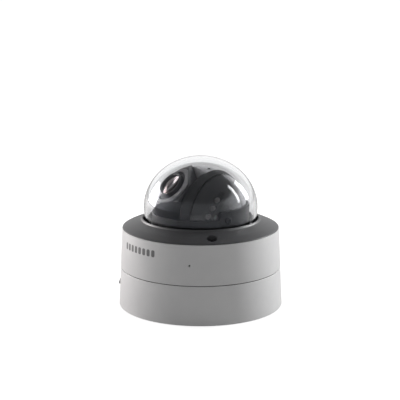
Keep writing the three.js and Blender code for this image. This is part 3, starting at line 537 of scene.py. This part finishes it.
# Each kind: its node's name, its body, its head's radius and height, its length, whether its head is down,
# and its finish.
SCREW_KINDS = [
    ("ring_screw", "housing", 3.6, 2.5, 12.0, False, black_steel),
    ("case_screw", "housing", 3.6, 2.6, 20.0, True, steel),
    ("chassis_screw", "housing", 3.0, 1.6, 10.0, False, steel),
    ("board_screw", "housing", 2.8, 1.6, 5.5, True, steel),
    ("collar_screw", "pan_unit", 2.6, 1.4, 3.6, False, steel),
]
for kind, body, head_radius, head_height, length, head_down, coating in SCREW_KINDS:
    for node in sorted(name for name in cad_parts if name.startswith(kind)):
        low, high = size_of(node)
        seat = low[2] + head_height if head_down else high[2] - head_height
        made = screw(node + "_fine", head_radius - 0.05, head_height, length)
        if head_down:
            turned_over(made)
        centre = (low + high) / 2
        put_at(made, (centre[0], centre[1], seat))
        fitted(made, coating, "steel", body, node)

# The side screw is a pan head with the same drive, over a hole that takes a padlock loop.
SIDE_HEAD = (2.65, 1.8)
side = screw("side_screw_fine", *SIDE_HEAD, 9.0)
flat = np.array([v.co for v in side.data.vertices]) / MM
side.data.vertices.foreach_set("co", (laid(flat, SIDE_AZIMUTH, side_seat + GAP, SIDE_HEIGHT) * MM).ravel())
side.data.update()
fitted(side, steel, "steel", "housing", "side_screw")

# ---------------------------------------------------------------- rubber
# A moulded grommet lines the cable hole, a square-section cord seals the parting line, and a flat gasket
# lies under the dome's flange. All are black silicone with a dull bloom.
rubber, place = finish("black_rubber", (0.03, 0.03, 0.03), 0.8)
bloom = noise(place, 3.0, 5.0, 0.6)
drive(
    rubber,
    base_color=bloom.mixed((0.02, 0.02, 0.02, 1), (0.05, 0.05, 0.05, 1)),
    roughness=0.7 + 0.25 * bloom,
    normal=bumped(noise(place, 0.5, 2.0), 0.01),
)
GROMMET_BORE = 5.0
grommet_outline = [
    (GROMMET_BORE, 0.5),
    (CABLE_HOLE - 1, 0.5),
    (CABLE_HOLE - GAP, FLOOR_LOW),
    (CABLE_HOLE - GAP, FLOOR_HIGH + GAP),
    (CABLE_HOLE + 3, FLOOR_HIGH + GAP),
    (CABLE_HOLE + 3, FLOOR_HIGH + GAP + 2),
    (GROMMET_BORE, FLOOR_HIGH + 4),
]
grommet = skin("cable_grommet_moulding", turned(eased(grommet_outline, 0.6), 128))
fitted(grommet, rubber, "rubber", "housing", "cable_grommet")


def washer(name, node, inner, softness):
    """A flat ring on a node's place, from an inner radius to the node's own outer one."""
    low, high = size_of(node)
    outline = [(inner, low[2]), (high[0], low[2]), (high[0], high[2]), (inner, high[2])]
    return skin(name, turned(eased(outline, softness), 192))


gasket = washer("cover_gasket_cord", "cover_gasket", rim - GROOVE_OUT - GROOVE_WIDTH + GAP, 0.4)
fitted(gasket, rubber, "rubber", "housing", "cover_gasket")
LEDGE_INNER = 50.5
seal = washer("dome_seal_ring", "dome_seal", LEDGE_INNER + 1, 0.4)
fitted(seal, rubber, "rubber", "housing", "dome_seal")

# ---------------------------------------------------------------- upper drum
# A second casting in the same paint carries the dome. It has a ledge inside its rim, pillars that reach down
# to the base's posts, and a sound hole at the front with the microphone behind it.
COVER_WALL = 2.5
LEDGE_TOP = 69.5
LEDGE_LOW = 67.3
COVER_BOTTOM = 36.1
RING_SCREW_CIRCLE = 64.8
cover_outline = [
    (drum_radius(COVER_BOTTOM), COVER_BOTTOM),
    (drum_radius(drum_top), drum_top),
    (drum_radius(drum_top) - COVER_WALL, drum_top),
    (drum_radius(drum_top) - COVER_WALL, LEDGE_TOP),
    (LEDGE_INNER, LEDGE_TOP),
    (LEDGE_INNER, LEDGE_LOW),
    (drum_radius(LEDGE_TOP) - COVER_WALL, LEDGE_LOW),
    (drum_radius(COVER_BOTTOM) - COVER_WALL, COVER_BOTTOM),
]
cover = skin("cover_casting", turned(eased(cover_outline, 0.5), 256))
ring_places = [around(RING_SCREW_AZIMUTH + 120 * i, RING_SCREW_CIRCLE) for i in range(3)]
ledge_middle = (LEDGE_LOW + LEDGE_TOP) / 2
pillars = [skin("pillar", rod(4.2, 53.3, ledge_middle) + p) for p in ring_places]
pillars += [skin("pillar", rod(4.5, CASE_POST[1] + GAP, ledge_middle) + p) for p in case_places]
carved(cover, *pillars, operation="UNION")
MIC_AZIMUTH = -7.65
MIC_HEIGHT = 54.2
MIC_HOLE = 0.9
holes = [skin("hole", rod(HOLE, 55.3, 73) + p) for p in ring_places]
holes += [skin("hole", rod(HOLE, 13.3, 28.3) + p) for p in case_places]
holes.append(skin("hole", laid(rod(MIC_HOLE, -8, 4), MIC_AZIMUTH, drum_radius(MIC_HEIGHT), MIC_HEIGHT)))
carved(cover, *holes)
fitted(cover, white_paint, "white_paint", "housing", "upper_cover")

# ---------------------------------------------------------------- dome
# One vacuum-clear polycarbonate moulding, 3 mm thick: a crown between two half ellipses on a straight skirt,
# with a flange that the trim ring clamps. It has a hard coat and a faint haze of fine dust.
clear_dome, place = finish(
    "clear_dome",
    (0.985, 0.99, 1.0),
    0.0,
    transmission_weight=1.0,
    ior=1.49,
    specular_tint=(0.5, 0.53, 0.6, 1),
)
dust = noise(place, 2.2, 6.0, 0.7)
drive(clear_dome, roughness=0.012 * dust.between(0.45, 0.75))

DOME_WALL = 3.0
EQUATOR = 90.9
FLANGE_RADIUS = 58.5
FLANGE_LOW = 71.6
FLANGE_HIGH = 74.0
RING_TOP = 80.3
CROWN_STEPS = 72
dome_high = size_of("dome_bubble")[1][2]
DOME_RADIUS = 52.9
MOUTH_RADIUS = 52.0


def quarter_ellipse(radius, height):
    """From the dome's widest circle to its crown."""
    swing = np.linspace(0, np.pi / 2, CROWN_STEPS)
    return np.stack([radius * np.cos(swing), EQUATOR + height * np.sin(swing)], axis=-1)


outside = quarter_ellipse(DOME_RADIUS, dome_high - EQUATOR)
inside = quarter_ellipse(DOME_RADIUS - DOME_WALL, dome_high - EQUATOR - DOME_WALL)
outside[-1, 0] = inside[-1, 0] = 0
dome_profile = [
    *inside[::-1],
    (MOUTH_RADIUS - DOME_WALL, FLANGE_LOW),
    (FLANGE_RADIUS, FLANGE_LOW),
    (FLANGE_RADIUS, FLANGE_HIGH),
    (MOUTH_RADIUS + 0.8, FLANGE_HIGH),
    (MOUTH_RADIUS + 0.2, FLANGE_HIGH + 0.3),
    (MOUTH_RADIUS, FLANGE_HIGH + 0.8),
    (MOUTH_RADIUS, RING_TOP),
    *outside,
]
dome = skin("dome_moulding", turned(dome_profile, 256))
fitted(dome, clear_dome, "clear_dome", "housing", "dome_bubble")

# ---------------------------------------------------------------- trim ring
# A die-cast ring in charcoal powder coat that slopes from a raised bead round the dome to the drum's edge.
# Three counterbored screws pull it down on the dome's flange.
charcoal, place = finish("charcoal_trim", (0.045, 0.046, 0.05), 0.42, specular_ior_level=0.9)
peel = noise(place, 0.9, 2.0)
rubbed = noise(place, 18, 4.0, 0.6)
drive(
    charcoal,
    base_color=rubbed.between(0.3, 0.7).mixed((0.04, 0.041, 0.045, 1), (0.05, 0.051, 0.055, 1)),
    roughness=0.38 + 0.1 * peel + 0.04 * rubbed,
    normal=bumped(peel, 0.008),
)

ring_high = size_of("trim_ring")[1]
ring_outer = ring_high[0]
RING_INNER = 53.5
RING_EDGE = 72.8
SPIGOT_LOW = 69.8
CLAMP_LEVEL = 74.3
SPIGOT_OUTER = 70.3
ring_outline = [
    (RING_INNER, CLAMP_LEVEL),
    (RING_INNER, ring_high[2] - 0.5),
    (RING_INNER + 0.6, ring_high[2]),
    (RING_INNER + 1.6, ring_high[2] - 0.3),
    (RING_INNER + 2.1, RING_TOP - 0.1),
    (ring_outer - 8, RING_EDGE + 4.15),
    (ring_outer - 1.6, RING_EDGE + 1.3),
    (ring_outer - 0.3, RING_EDGE + 0.6),
    (ring_outer, RING_EDGE),
    (SPIGOT_OUTER, RING_EDGE),
    (SPIGOT_OUTER, SPIGOT_LOW),
    (FLANGE_RADIUS + 0.6, SPIGOT_LOW),
    (FLANGE_RADIUS + 0.6, CLAMP_LEVEL),
]
ring = skin("trim_ring_casting", turned(eased(ring_outline, 0.9), 288))
COUNTERBORE = 4.75
bores = [skin("bore", rod(COUNTERBORE, SPIGOT_LOW + 2, 84, 64) + p) for p in ring_places]
bores += [skin("bore", rod(HOLE, SPIGOT_LOW - 1, 73) + p) for p in ring_places]
carved(ring, *bores)
fitted(ring, charcoal, "charcoal_trim", "housing", "trim_ring")

# ---------------------------------------------------------------- pan works and liner collar
# The turntable and its steel retainer carry a black moulded collar, cut low in front of the lens and high at
# the two tilt pivots. It hides the works below the eyeball.
black_plastic, place = finish("black_plastic", (0.018, 0.018, 0.019), 0.42, specular_ior_level=0.3)
grit = noise(place, 0.9, 2.0)
scuff = noise(place, 12, 5.0, 0.6)
drive(
    black_plastic,
    base_color=scuff.between(0.3, 0.7).mixed((0.014, 0.014, 0.015, 1), (0.024, 0.024, 0.026, 1)),
    roughness=0.4 + 0.1 * grit + 0.06 * scuff,
    normal=bumped(grit, 0.002),
)

COLLAR_INNER = 43.8
COLLAR_OUTER = 45.3
COLLAR_TOP = 95.5
COLLAR_LOW_TOP = 88.0
COLLAR_FOOT = 39.5
LENS_AZIMUTH = -58.0
COLLAR_FLANGE = 8.0
COLLAR_FLANGE_THICK = 2.0
NOTCH_HALF = 80.0
NOTCH_EASE = 4.0
BALL_CENTRE = 87.5
collar_outline = [
    (COLLAR_INNER - COLLAR_FLANGE, COLLAR_FOOT),
    (COLLAR_OUTER, COLLAR_FOOT),
    (COLLAR_OUTER, COLLAR_TOP),
    (COLLAR_INNER, COLLAR_TOP),
    (COLLAR_INNER, COLLAR_FOOT + COLLAR_FLANGE_THICK),
    (COLLAR_INNER - COLLAR_FLANGE, COLLAR_FOOT + COLLAR_FLANGE_THICK),
]
collar = turned(eased(collar_outline, 0.3), 360)
azimuth = np.degrees(np.arctan2(collar[..., 0], -collar[..., 1]))
from_lens = np.abs((azimuth - LENS_AZIMUTH + 180) % 360 - 180)
climb = np.clip((from_lens - NOTCH_HALF + NOTCH_EASE / 2) / NOTCH_EASE, 0, 1)
top_drop = (COLLAR_TOP - COLLAR_LOW_TOP) * (1 - climb * climb * (3 - 2 * climb))
upper = np.clip((collar[..., 2] - COLLAR_FOOT - 4) / (COLLAR_TOP - COLLAR_FOOT - 4), 0, 1)
collar[..., 2] -= top_drop * upper
collar = skin("liner_collar_moulding", collar)
TILT_AZIMUTH = LENS_AZIMUTH + 90
PIVOT_SHANK = 2.0
PIVOT_HOLE = PIVOT_SHANK + GAP
pivot_hole = laid(rod(PIVOT_HOLE, -60, 60), TILT_AZIMUTH, 0, BALL_CENTRE)
carved(collar, skin("hole", pivot_hole))
fitted(collar, black_plastic, "black_plastic", "pan_unit", "liner_collar")

for node, azimuth in (("tilt_pivot_1", TILT_AZIMUTH), ("tilt_pivot_2", TILT_AZIMUTH + 180)):
    pivot = screw(node + "_fine", 3.15, 1.5, 7.0)
    points = np.array([v.co for v in pivot.data.vertices]) / MM
    points[:, :2] *= np.where(points[:, 2:] < -0.1, PIVOT_SHANK / SHANK, 1.0)
    points = laid(points, azimuth, COLLAR_OUTER + GAP, BALL_CENTRE)
    pivot.data.vertices.foreach_set("co", (points * MM).ravel())
    pivot.data.update()
    fitted(pivot, black_steel, "steel", "pan_unit", node)

# ---------------------------------------------------------------- eyeball
# The ball that aims the lens is a grey moulded shroud in front and a light die-cast bracket behind, split by
# a slanting plane. The shroud has three flat sides about the lens, and the side towards the lamps is cut off.
LENS_ELEVATION = 42.5
LENS_OFFSET = -4.5
BALL_RADIUS = 43.2
SHELL = 2.0
SHROUD_NOSE = 37.0
FLAT_DISTANCE = 18.6
FLAT_ANGLES = np.radians([47, 167, -73])
IR_TURN_BACK = np.radians(12.5)
IR_TURN_UP = np.radians(9)
IR_INNER = 9.5
IR_BAND = 15.3
IR_LEVEL = 21.0
SPLIT_ANGLE = np.radians(43.6)
SPLIT_LEVEL = 3.4

rise = np.radians(LENS_ELEVATION)
lens_way = around(LENS_AZIMUTH, np.cos(rise), np.sin(rise))
tilt_way = around(TILT_AZIMUTH, 1.0)
up_way = np.cross(lens_way, tilt_way)
BALL_AXES = np.array([tilt_way, up_way, lens_way])
turn_back = np.array(
    [
        [np.cos(IR_TURN_BACK), 0, np.sin(IR_TURN_BACK)],
        [0, 1, 0],
        [-np.sin(IR_TURN_BACK), 0, np.cos(IR_TURN_BACK)],
    ]
)
turn_up = np.array(
    [
        [np.cos(IR_TURN_UP), -np.sin(IR_TURN_UP), 0],
        [np.sin(IR_TURN_UP), np.cos(IR_TURN_UP), 0],
        [0, 0, 1],
    ]
)
IR_AXES = (turn_back @ turn_up).T
ir_way = IR_AXES[0]
split_way = np.array([0, -np.sin(SPLIT_ANGLE), np.cos(SPLIT_ANGLE)])


HOLLOW_STEPS = (180, 100)


def in_ball(points):
    """From the eyeball's own axes (tilt, up, lens) to where it sits."""
    return points @ BALL_AXES + np.array([0, 0, BALL_CENTRE])


def cut_ball(name, radius, planes, centre, crispness=90, steps=(300, 170)):
    """A ball with planes cut from it. In each direction from a point inside, the surface lies at the smaller
    of the distances to the ball and to each plane, taken as a power mean, which rounds the edges a little."""
    centre = np.array(centre, float)
    turn = np.linspace(0, 2 * np.pi, steps[0], endpoint=False)[None, :]
    dip = np.linspace(0, np.pi, steps[1])[:, None]
    way = np.stack([np.sin(dip) * np.cos(turn), np.sin(dip) * np.sin(turn), np.cos(dip) + 0 * turn], axis=-1)
    along = way @ centre
    nearness = (1 / (np.sqrt(along**2 + radius**2 - centre @ centre) - along)) ** crispness
    for normal, level in planes:
        facing = np.maximum(way @ normal, 1e-9) / (level - centre @ normal)
        nearness = nearness + facing**crispness
    distance = nearness ** (-1 / crispness)
    return skin(name, in_ball(centre + way * distance[..., None]), close_rows=False)


def flats(inset=0.0):
    """The shroud's three flat sides, as planes round the lens axis."""
    planes = []
    for angle in FLAT_ANGLES:
        normal = np.array([np.cos(angle), np.sin(angle), 0])
        planes.append((normal, FLAT_DISTANCE - inset + LENS_OFFSET * normal[0]))
    return planes


def along_lens(points, x=LENS_OFFSET):
    """Stands points that turn about Z on the lens axis."""
    return in_ball(shifted(points, x))


forward = np.array([0, 0, 1.0])
grey_plastic, place = finish("grey_plastic", (0.08, 0.08, 0.085), 0.36)
grit = noise(place, 0.5, 3.0)
flow = noise(place, 14, 4.0, 0.6)
drive(
    grey_plastic,
    base_color=flow.between(0.3, 0.7).mixed((0.066, 0.067, 0.071, 1), (0.094, 0.095, 0.1, 1)),
    roughness=0.33 + 0.1 * grit + 0.06 * flow,
    normal=bumped(grit, 0.004),
)
inside_ball = (LENS_OFFSET, -5, 12)
shroud_planes = [(forward, SHROUD_NOSE), (ir_way, IR_INNER - GAP), (-split_way, -SPLIT_LEVEL - GAP), *flats()]
shroud = cut_ball("lens_shroud_moulding", BALL_RADIUS, shroud_planes, inside_ball)
hollow_planes = [(forward, SHROUD_NOSE - SHELL), *flats(SHELL)]
hollow = cut_ball("hollow", BALL_RADIUS - SHELL, hollow_planes, inside_ball, steps=HOLLOW_STEPS)
SHROUD_MOUTH = 16.4
mouth = skin("mouth", along_lens(rod(SHROUD_MOUTH, 20, 45, 128)))
carved(shroud, hollow, mouth)
fitted(shroud, grey_plastic, "grey_plastic", "eyeball", "lens_shroud")

# The bezel is a satin plate on the shroud's nose. Its outline is a circle with the shroud's flats, and its
# bore and rim have fine rounded edges.
BEZEL_LEVEL = 38.6
BEZEL_RADIUS = 21.3
BEZEL_BORE = 15.9
BEZEL_THICK = 1.3
turn = np.linspace(0, 2 * np.pi, 360, endpoint=False)
way = np.stack([np.cos(turn), np.sin(turn)], axis=-1)
ball_limit = np.sqrt(BALL_RADIUS**2 - BEZEL_LEVEL**2)
across = LENS_OFFSET * way[:, 0]
limits = [np.full_like(turn, BEZEL_RADIUS), -across + np.sqrt(across**2 + ball_limit**2 - LENS_OFFSET**2)]
limits += [FLAT_DISTANCE / np.maximum(np.cos(turn - angle), 1e-3) for angle in FLAT_ANGLES]
to_lamps = IR_INNER - GAP - ir_way[2] * BEZEL_LEVEL - ir_way[0] * LENS_OFFSET
limits.append(to_lamps / np.maximum(way @ ir_way[:2], 1e-3))
outer = sum((1 / limit) ** 70 for limit in limits) ** (-1 / 70)
EDGE = 0.35
profile = eased([(0, 0), (10, 0), (10, BEZEL_THICK), (0, BEZEL_THICK)], EDGE, 5)
near_bore = profile[:, :1] < 5
radius = np.where(near_bore, BEZEL_BORE + profile[:, :1], outer - 10 + profile[:, :1])
level = np.broadcast_to(profile[:, 1:] + BEZEL_LEVEL - BEZEL_THICK, radius.shape)
plate_grid = np.stack([radius * way[:, 0], radius * way[:, 1], level], axis=-1)
bezel = skin("lens_bezel_plate", along_lens(plate_grid))
satin_grey, place = finish("satin_grey", (0.22, 0.22, 0.23), 0.3)
grit = noise(place, 0.4, 3.0)
drive(
    satin_grey,
    base_color=noise(place, 10, 4.0).mixed((0.19, 0.19, 0.2, 1), (0.25, 0.25, 0.26, 1)),
    roughness=0.28 + 0.14 * grit,
    normal=bumped(grit, 0.003),
)
fitted(bezel, satin_grey, "grey_plastic", "eyeball", "lens_bezel")

# The bracket is a light aluminium casting with a cut front face. A screw hole takes the shroud's fixing screw
# and its left pole has the bore of a tilt pivot.
light_casting, place = finish("light_casting", (0.6, 0.605, 0.62), 0.34, metallic=0.15)
grit = noise(place, 0.7, 4.0)
skin_tone = noise(place, 11, 4.0, 0.6)
drive(
    light_casting,
    base_color=skin_tone.between(0.3, 0.7).mixed((0.56, 0.565, 0.58, 1), (0.66, 0.665, 0.68, 1)),
    roughness=0.3 + 0.16 * grit,
    normal=bumped(grit, 0.008),
)
BRACKET_RADIUS = 41.8
SCREW_WAY = np.array([9.5, 31, 24.5])
SCREW_HOLE = 1.6
bracket_planes = [(split_way, SPLIT_LEVEL), (ir_way, IR_BAND - GAP)]
bracket_middle = (-8, 12, -14)
bracket = cut_ball("tilt_bracket_casting", BRACKET_RADIUS, bracket_planes, bracket_middle, crispness=140)
bracket_inner = BRACKET_RADIUS - SHELL
web_plane = [(split_way, SPLIT_LEVEL - SHELL)]
behind_web = cut_ball("hollow", bracket_inner, web_plane, bracket_middle, steps=HOLLOW_STEPS)
round_lens = cut_ball("hollow", bracket_inner, flats(SHELL), (LENS_OFFSET, -5, 4), steps=HOLLOW_STEPS)
lamp_plane = [(-ir_way, GAP - IR_INNER)]
lamp_side = cut_ball("hollow", bracket_inner, lamp_plane, 25 * ir_way, steps=HOLLOW_STEPS)


def aimed(points, way):
    """Turns points that stand on Z so that their Z runs along a direction."""
    turn = Vector((0, 0, 1)).rotation_difference(Vector(way)).to_matrix()
    return points @ np.array(turn).T


screw_hole = skin("hole", in_ball(aimed(rod(SCREW_HOLE, 5, 60), SCREW_WAY)))
pole_hole = skin("hole", in_ball(aimed(rod(PIVOT_HOLE, 5, 60), (-1, 0, 0))))
carved(bracket, behind_web, round_lens, lamp_side, screw_hole, pole_hole)
fitted(bracket, light_casting, "light_casting", "eyeball", "tilt_bracket")

# ---------------------------------------------------------------- infrared lamps
# A matte black cup closes the ball's other side. Three lamps stand on a black strip in front of its floor,
# under a cap of smoked polycarbonate.
IR_FLOOR = 1.8
NECK_RADIUS = 39.2


def on_ir_axis(points):
    """Turns points that stand on Z to the lamps' axis. Their X and Y become the segment's own Y and Z."""
    return in_ball(points[..., [2, 0, 1]] @ IR_AXES)


def arc(radius, low, high, steps):
    """Points of a ball's outside between two levels along its axis."""
    swing = np.linspace(np.arcsin(low / radius), np.arcsin(min(high / radius, 1)), steps)
    return np.stack([radius * np.cos(swing), radius * np.sin(swing)], axis=-1)


matte_black, place = finish("matte_black", (0.02, 0.02, 0.021), 0.55)
grit = noise(place, 0.4, 3.0)
drive(
    matte_black,
    base_color=noise(place, 9, 4.0).mixed((0.016, 0.016, 0.017, 1), (0.027, 0.027, 0.029, 1)),
    roughness=0.46 + 0.16 * grit,
    normal=bumped(grit, 0.006),
)
cup_inside = arc(NECK_RADIUS - SHELL, IR_INNER, IR_LEVEL - IR_FLOOR, 24)
cup_neck = arc(NECK_RADIUS, IR_INNER, IR_BAND, 16)
cup_band = arc(BALL_RADIUS, IR_BAND, IR_LEVEL, 24)
cup_profile = [(0, IR_LEVEL - IR_FLOOR), *cup_inside[::-1], *cup_neck, *cup_band, (0, IR_LEVEL)]
cup = skin("ir_housing_cup", on_ir_axis(turned(cup_profile, 256)))
WIRE_HOLE = 2.5
wire_hole = rod(WIRE_HOLE, 5, 40)[..., [2, 0, 1]] @ turn_back.T
carved(cup, skin("hole", in_ball(wire_hole)))
fitted(cup, matte_black, "black_plastic", "eyeball", "ir_housing")

smoked_window, place = finish(
    "smoked_window", (0.62, 0.62, 0.64), 0.02, transmission_weight=1.0, ior=1.5
)
drive(smoked_window, roughness=0.01 + 0.02 * noise(place, 2.0, 5.0, 0.7).between(0.4, 0.8))
window_outside = arc(BALL_RADIUS, IR_LEVEL + GAP, BALL_RADIUS, 80)
window_inside = arc(BALL_RADIUS - SHELL, IR_LEVEL + GAP, BALL_RADIUS, 80)
window_outside[-1, 0] = window_inside[-1, 0] = 0
window_profile = [*window_inside[::-1], *window_outside]
window = skin("ir_window_cap", on_ir_axis(turned(window_profile, 256)))
carved(window, skin("hole", in_ball(aimed(rod(PIVOT_HOLE, 25, 60), (1, 0, 0)))))
fitted(window, smoked_window, "smoked_window", "eyeball", "ir_window")

# Each lamp is a clear half-round dome on a short round base.
STRIP_X = 25.2
LAMP_FIRST = -10.0
LAMP_PITCH = 8.75
LAMP_LOW = 13.9
LAMP_COUNT = 3
lamp_resin, place = finish("lamp_resin", (0.85, 0.84, 0.8), 0.08, transmission_weight=0.35, ior=1.5)
drive(
    lamp_resin,
    base_color=noise(place, 1.0, 3.0).mixed((0.7, 0.69, 0.62, 1), (0.9, 0.89, 0.84, 1)),
    roughness=0.05 + 0.1 * noise(place, 0.5, 3.0),
)
swing = np.linspace(0, np.pi / 2, 14)
lamp_dome = [(2.1 * np.cos(a), 1.2 + 2.0 * np.sin(a)) for a in swing[:-1]]
lamp_profile = [(0, 0), (2.6, 0), (2.6, 0.9), (2.3, 1.1), *lamp_dome, (0, 3.2)]
for i in range(LAMP_COUNT):
    lamp = turned(lamp_profile, 64) + np.array([STRIP_X, LAMP_FIRST + i * LAMP_PITCH, LAMP_LOW])
    lamp = skin(f"ir_lamp_{i + 1}_lens", in_ball(lamp @ IR_AXES))
    fitted(lamp, lamp_resin, "lamp", "eyeball", f"ir_lamp_{i + 1}")

# ---------------------------------------------------------------- lens unit
# The zoom lens turns as a whole inside the bezel. Its black anodised nose has three turned rings round a
# slightly domed, coated front glass, and dark cells with their own elements behind it.
anodised, place = finish("black_anodised", (0.03, 0.03, 0.033), 0.4, specular_ior_level=0.4)
lines = noise(place, 0.25, 2.0)
drive(
    anodised,
    base_color=noise(place, 6, 4.0).mixed((0.024, 0.024, 0.027, 1), (0.04, 0.04, 0.044, 1)),
    roughness=0.36 + 0.14 * lines,
    normal=bumped(lines, 0.003),
)
NOSE_TOP = 41.0
NOSE = 12.85
GLASS = 10.1
GLASS_LOW = 37.9
FRONT_BORE = 9.4
REAR_BORE = 7.4
barrel_outline = [
    (REAR_BORE, -12),
    (9.8, -12),
    (9.8, 6.5),
    (15.2, 8),
    (15.2, 36.5),
    (NOSE, 36.5),
    (NOSE, NOSE_TOP),
    (NOSE - 0.9, NOSE_TOP),
    (NOSE - 1.0, NOSE_TOP - 0.5),
    (NOSE - 1.5, NOSE_TOP - 0.5),
    (NOSE - 1.6, NOSE_TOP - 0.1),
    (NOSE - 2.1, NOSE_TOP - 0.4),
    (GLASS + 0.3, NOSE_TOP - 1.0),
    (GLASS + 0.3, GLASS_LOW - 0.3),
    (FRONT_BORE, GLASS_LOW - 0.3),
    (FRONT_BORE, 10),
    (REAR_BORE, 10),
]
barrel = skin("lens_barrel_turning", along_lens(turned(eased(barrel_outline, 0.15), 192)))
fitted(barrel, anodised, "black_plastic", "lens_unit", "lens_barrel")

coated_glass, place = finish(
    "coated_glass",
    (0.96, 0.97, 1.0),
    0.0,
    transmission_weight=1.0,
    ior=1.52,
    specular_tint=(0.5, 0.25, 0.25, 1),
)
drive(coated_glass, roughness=0.01 * noise(place, 1.5, 5.0, 0.7).between(0.5, 0.8))


def element(name, radius, low, high, bulge_low, bulge_high, node, body):
    """A glass element: a disc whose two faces bulge outwards by a parabola."""
    share = np.linspace(0, 1, 24)
    back = [(radius * s, low + bulge_low * s**2) for s in share]
    front = [(radius * s, high - bulge_high * s**2) for s in share[::-1]]
    made = skin(name, along_lens(turned([*back, *front], 96)))
    fitted(made, coated_glass, "lens_glass", body, node)


element("front_glass_lens", GLASS, GLASS_LOW, GLASS_LOW + 2.6, 0.0, 1.2, "front_glass", "lens_unit")
element("zoom_element_lens", 5.7, 21.0, 25.7, 1.0, 1.7, "zoom_element", "zoom_group")
element("focus_element_lens", 4.2, 1.0, 5.0, 1.0, 1.0, "focus_element", "focus_group")
cell_outline = [(6.0, 20), (9.1, 20), (9.1, 26), (8.4, 26), (8.2, 25.4), (6.4, 25.0)]
zoom_cell = skin("zoom_cell_turning", along_lens(turned(eased(cell_outline, 0.2), 128)))
fitted(zoom_cell, anodised, "black_plastic", "zoom_group", "zoom_cell")
cell_outline = [(4.5, 0), (7.1, 0), (7.1, 6), (4.5, 6)]
focus_cell = skin("focus_cell_turning", along_lens(turned(eased(cell_outline, 0.3), 96)))
fitted(focus_cell, anodised, "black_plastic", "focus_group", "focus_cell")

# ---------------------------------------------------------------- works inside the drum
# The chassis plate, boards, jack, motors and other fittings keep their own solids. They only need the finish
# of the real ones: plated steel, cast aluminium, moulded nylon, and boards with tracks under green resist.
circuit_board, place = finish("circuit_board", (0.02, 0.14, 0.07), 0.35)
cells = place.node("ShaderNodeTexBrick", {}, {"Vector": place, "Scale": 260.0, "Mortar Size": 0.03}, output=1)
tracks = cells.between(0.2, 0.6)
drive(
    circuit_board,
    base_color=tracks.mixed((0.012, 0.1, 0.05, 1), (0.05, 0.24, 0.11, 1)),
    roughness=0.3 + 0.15 * noise(place, 1.0, 3.0),
    normal=bumped(tracks, 0.03),
)
WORKS = [
    (plated, ("chassis_plate", "network_jack", "card_socket", "reset_switch", "pan_retainer")),
    (steel, ("zoom_motor", "focus_motor")),
    (light_casting, ("heat_spreader", "pan_turntable")),
    (circuit_board, ("main_board", "sensor_board")),
    (black_plastic, ("microphone", "power_terminal", "memory_card", "reset_button")),
    (black_plastic, ("image_sensor", "ir_board")),
    (coated_glass, ("ir_cut_filter",)),
]
for material, names in WORKS:
    for name in names:
        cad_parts[name].data.materials.clear()
        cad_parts[name].data.materials.append(material)
